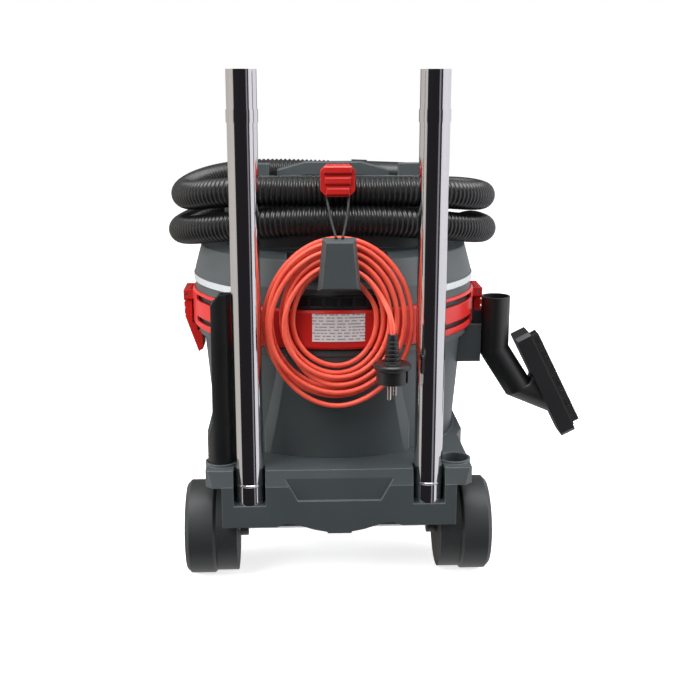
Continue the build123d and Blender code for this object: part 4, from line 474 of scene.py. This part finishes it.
hose_line = route_curve("hose_line", to_row(hose_route()))
hose_points = read_line(hose_line)
bpy.data.objects.remove(hose_line)
hose_length = np.linalg.norm(np.diff(hose_points, axis=0), axis=1).sum() * 1000
ribs = int(hose_length / RIB_PITCH)
line, ahead, length = even_line(hose_points, ribs * RIB_STEPS + 1)
phase = np.arange(len(line)) % RIB_STEPS / RIB_STEPS
crest = np.clip(CREST_MIDDLE - CREST_SWING * np.cos(2 * np.pi * phase), 0, 1)
plain = np.minimum(np.arange(len(line)), np.arange(len(line))[::-1]) < PLAIN_RIBS * RIB_STEPS
radii = np.where(plain, HOSE_ROOT_R, HOSE_ROOT_R + (HOSE_R - HOSE_ROOT_R) * crest) / 1000
hose = grid_mesh("ribbed_hose", tube_grid(line, ahead, radii, HOSE_SIDES))
gloss_pe = moulded_plastic("black_polyethylene", "#0c0d0e", "#232526", 0.28, 1.2, 0.004, 0.5)
hose.data.materials.append(gloss_pe)
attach(hose, "base")
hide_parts("suction_hose")

# Elastic strap: two thin strands of one rubber loop, drawn from the red clip to the cord hook. The
# black rubber is matt, so that each strand is a plain dark line.
strap_low, strap_high = (np.array(c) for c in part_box("elastic_strap"))
STRAP_TOP, STRAP_LOW = 13.0, 3.5
STRAP_R, STRAP_BOW = 1.5, 1.2
STRAP_POINTS, STRAP_RINGS, STRAP_SIDES = 24, 30, 10
strap_rubber = moulded_plastic("strap_rubber", "#141516", "#2e3031", 0.6, 0.8, 0.05, 0.5)
strands = []
for side in (-1, 1):
    t = np.linspace(0, 1, STRAP_POINTS)
    bow = np.sin(np.pi * t) * STRAP_BOW
    x = side * (STRAP_LOW + (STRAP_TOP - STRAP_LOW) * t + bow) + ROW_X
    y = np.interp(t, [0, 1], [strap_low[1] * 1000 + STRAP_R, strap_high[1] * 1000 - STRAP_R])
    z = np.interp(t, [0, 1], [strap_low[2] * 1000, strap_high[2] * 1000])
    path = np.stack([x, y, z], axis=1) / 1000
    line, ahead, _ = even_line(path, STRAP_RINGS)
    strands.append(tube_grid(line, ahead, np.full(STRAP_RINGS, STRAP_R / 1000), STRAP_SIDES))
strap = grid_mesh("elastic_strands", strands[0])
other = grid_mesh("elastic_strands_right", strands[1])
for piece in (strap, other):
    piece.data.materials.append(strap_rubber)
    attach(piece, "base")
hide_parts("elastic_strap")

# Suction tubes: two chrome-plated steel wands standing in the rear deck. The smooth plating mirrors
# the room in long dark and bright bands.
chrome = bare_metal("chrome_plate", "#e3e4e6", 0.07, 1.5, 0.004)
dress(chrome, "tube_left", "tube_right")

# Brush bristles: stiff black nylon strands set in rows in a bed on the brush head's face. Each one
# tapers and leans a little its own way.
nylon = moulded_plastic("black_nylon", "#0f1011", "#2b2c2e", 0.5, 0.8, 0.05, 0.4)
BRUSH_LEAN = math.radians(27.0)
BRUSH_CENTRE = (268.0, -47.0, 208.0)
BRUSH_LENGTH, BRUSH_W, BRUSH_T = 150.0, 40.0, 20.0
BRISTLE_BED, BRISTLE_LENGTH = 2.0, 9.0
BED_MARGIN_LENGTH, BED_MARGIN_W, BED_LIFT = 14, 12, 0.1
TUFT_COLUMNS, TUFT_ROWS, TUFT_SEED = 92, 12, 7
TUFT_MARGIN_LENGTH, TUFT_MARGIN_W, TUFT_ROOT = 20, 18, 1.0
ROOT_HALF, TIP_HALF, LEAN_SPREAD = 0.5, 0.35, 0.5


def tufts(columns, rows):
    """Square tapering strands on a grid, each leaning a little by a seeded amount."""
    seed = np.random.default_rng(TUFT_SEED)
    u, v = np.meshgrid(np.linspace(-0.5, 0.5, columns) * (BRUSH_LENGTH - TUFT_MARGIN_LENGTH),
                       np.linspace(-0.5, 0.5, rows) * (BRUSH_W - TUFT_MARGIN_W), indexing="ij")
    root = np.stack([u.ravel(), v.ravel(), np.full(u.size, BRUSH_T + TUFT_ROOT)], axis=1)
    rise = np.full(u.size, BRISTLE_BED + BRISTLE_LENGTH - TUFT_ROOT)
    tip = root + np.c_[seed.normal(0, LEAN_SPREAD, (u.size, 2)), rise]
    square = np.array([(-1, -1, 0), (1, -1, 0), (1, 1, 0), (-1, 1, 0)], float)
    rings = np.stack([root[:, None] + square * ROOT_HALF, tip[:, None] + square * TIP_HALF], axis=1)
    return rings.reshape(-1, 8, 3)


strand = tufts(TUFT_COLUMNS, TUFT_ROWS)
count = len(strand)
bed = np.array([(x, y, z) for z in (BRUSH_T + BED_LIFT, BRUSH_T + BRISTLE_BED) for x, y in
                ((-1, -1), (1, -1), (1, 1), (-1, 1))], float)
bed[:, 0] *= (BRUSH_LENGTH - BED_MARGIN_LENGTH) / 2
bed[:, 1] *= (BRUSH_W - BED_MARGIN_W) / 2
local = np.concatenate([strand, bed[None]]).reshape(-1, 3)
down = np.array((math.sin(BRUSH_LEAN), 0, -math.cos(BRUSH_LEAN)))
out = np.array((math.cos(BRUSH_LEAN), 0, math.sin(BRUSH_LEAN)))
wide = np.cross(out, down)
spots = to_row(np.array(BRUSH_CENTRE) + local[:, 0:1] * down + local[:, 1:2] * wide + local[:, 2:3] * out)
box_faces = np.array([(0, 3, 2, 1), (4, 5, 6, 7), (0, 1, 5, 4), (1, 2, 6, 5), (2, 3, 7, 6), (3, 0, 4, 7)])
faces = (box_faces[None] + 8 * np.arange(count + 1)[:, None, None]).reshape(-1, 4)
mesh = bpy.data.meshes.new("brush_tufts")
mesh.from_pydata(spots.tolist(), [], faces.tolist())
bristles = bpy.data.objects.new("brush_tufts", mesh)
bpy.context.collection.objects.link(bristles)
mesh.materials.append(nylon)
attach(bristles, "brush_nozzle")
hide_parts("brush_bristles")

# Floor, light and camera: a white floor, a key, a fill, a top and two side lamps, seen from behind.
# Cards round the set, which only reflections see, give the chrome its dark and bright bands.


def staged(name, points, faces, colour, glow):
    """A plain sheet that isn't part of the object, in a colour that is lit or, by its share, glows."""
    sheet = bpy.data.meshes.new(name)
    sheet.from_pydata(points, [], faces)
    piece = bpy.data.objects.new(name, sheet)
    bpy.context.collection.objects.link(piece)
    finish, tree, surface, _ = shader(name)
    surface.inputs["Base Color"].default_value = srgb(colour)
    surface.inputs["Roughness"].default_value = 1.0
    surface.inputs["Specular IOR Level"].default_value = 0.0
    surface.inputs["Emission Color"].default_value = srgb(colour)
    surface.inputs["Emission Strength"].default_value = glow
    sheet.materials.append(finish)
    return piece, tree, surface


# The floor glows for the camera alone, so that it stays white, and throws no light on the machine.
FLOOR_HALF, FLOOR_GLOW = 6, 0.8
floor_corners = [(x * FLOOR_HALF, y * FLOOR_HALF, 0) for x, y in ((-1, -1), (1, -1), (1, 1), (-1, 1))]
floor, tree, surface = staged("floor", floor_corners, [(0, 1, 2, 3)], "#f6f6f6", 0.0)
seen = add(tree, "ShaderNodeLightPath").outputs["Is Camera Ray"]
bright = add(tree, "ShaderNodeMath", [(0, seen), (1, FLOOR_GLOW)], operation="MULTIPLY")
tree.links.new(bright.outputs["Value"], surface.inputs["Emission Strength"])
floor.visible_glossy = floor.visible_diffuse = False

CARD_R, CARD_LOW, CARD_HIGH = 0.9, -0.8, 1.6
CARD_STEPS = 8
CARDS = ((-180, -150, "#6b6664"), (-150, -52, "#c9c2bc"), (-52, 24, "#242225"), (24, 33, "#8b868e"),
         (33, 44, "#2f2c30"), (44, 150, "#ebe8ed"), (150, 180, "#77737a"))
for start, end, colour in CARDS:
    turn = np.radians(np.linspace(start, end, CARD_STEPS + 1))
    ring = np.stack([ROW_X / 1000 + CARD_R * np.sin(turn), ROW_Y / 1000 - CARD_R * np.cos(turn)], axis=1)
    corners = [(x, y, z) for z in (CARD_LOW, CARD_HIGH) for x, y in ring]
    faces = [(i, i + 1, i + CARD_STEPS + 2, i + CARD_STEPS + 1) for i in range(CARD_STEPS)]
    card, _, surface = staged("card", corners, faces, colour, 1.0)
    surface.inputs["Base Color"].default_value = (0, 0, 0, 1)
    card.visible_camera = card.visible_diffuse = card.visible_shadow = card.visible_transmission = False

# The room lights from above more than from below, and is plain white to the camera and in reflections.
DOME_LOW, DOME_HIGH = -0.4, 0.8
DOME_DIM, DOME_BRIGHT = 0.08, 0.42
world = bpy.data.worlds.new("studio")
bpy.context.scene.world = world
world.use_nodes = True
tree = world.node_tree
ray = add(tree, "ShaderNodeLightPath").outputs
shown = add(tree, "ShaderNodeMath", [(0, ray["Is Camera Ray"]), (1, ray["Is Glossy Ray"])],
            operation="MAXIMUM")
seen = add(tree, "ShaderNodeMath", [(0, shown.outputs["Value"]), (1, ray["Is Transmission Ray"])],
           operation="MAXIMUM")
sky = add(tree, "ShaderNodeSeparateXYZ", [("Vector", add(tree, "ShaderNodeTexCoord").outputs["Generated"])])
dome = add(tree, "ShaderNodeMapRange", [("Value", sky.outputs["Z"]), ("From Min", DOME_LOW),
                                        ("From Max", DOME_HIGH), ("To Min", DOME_DIM),
                                        ("To Max", DOME_BRIGHT)])
glow = add(tree, "ShaderNodeMapRange", [("Value", seen.outputs["Value"]),
                                        ("To Min", dome.outputs["Result"]), ("To Max", 1.0)])
tree.links.new(glow.outputs["Result"], tree.nodes["Background"].inputs["Strength"])
tree.nodes["Background"].inputs["Color"].default_value = (1, 1, 1, 1)


def soft_box(name, place, aim, size, power):
    """Rectangular area lamp at a place, tilted from straight down and turned about Z to face a spot."""
    lamp = bpy.data.lights.new(name, "AREA")
    lamp.shape = "RECTANGLE"
    lamp.size, lamp.size_y = size
    lamp.energy = power
    piece = bpy.data.objects.new(name, lamp)
    bpy.context.collection.objects.link(piece)
    piece.location = place
    toward = np.array(aim, float) - np.array(place, float)
    piece.rotation_euler = (math.atan2(math.hypot(toward[0], toward[1]), -toward[2]), 0,
                            math.atan2(toward[1], toward[0]) - math.pi / 2)


soft_box("key", (-1.6, -1.7, 1.8), (0, 0, 0.3), (1.2, 1.2), 38)
soft_box("fill", (1.8, -1.3, 1.0), (0, 0, 0.25), (1.0, 1.4), 12)
soft_box("top", (0.0, -0.6, 2.2), (0, 0, 0.3), (1.6, 1.2), 40)
soft_box("left", (-1.6, -0.25, 0.7), (0, 0, 0.35), (0.8, 1.2), 26)
soft_box("right", (1.6, -0.25, 0.7), (0, 0, 0.35), (0.8, 1.2), 26)

CAMERA_PLACE = (-48.8, -1404.9, 598.0)
PITCH, AZIMUTH = 14.0, -2.5
FOCAL_PX = 1071.0
PHOTO_HEIGHT = 699
SENSOR_MM = 36.0
camera = bpy.data.objects.new("camera", bpy.data.cameras.new("camera"))
bpy.context.collection.objects.link(camera)
camera.location = to_row(CAMERA_PLACE)
camera.rotation_euler = (math.radians(90 - PITCH), 0, math.radians(AZIMUTH))
camera.data.sensor_width = SENSOR_MM
camera.data.lens = FOCAL_PX * SENSOR_MM / PHOTO_HEIGHT
bpy.context.scene.camera = camera
bpy.context.scene.view_settings.view_transform = "Standard"
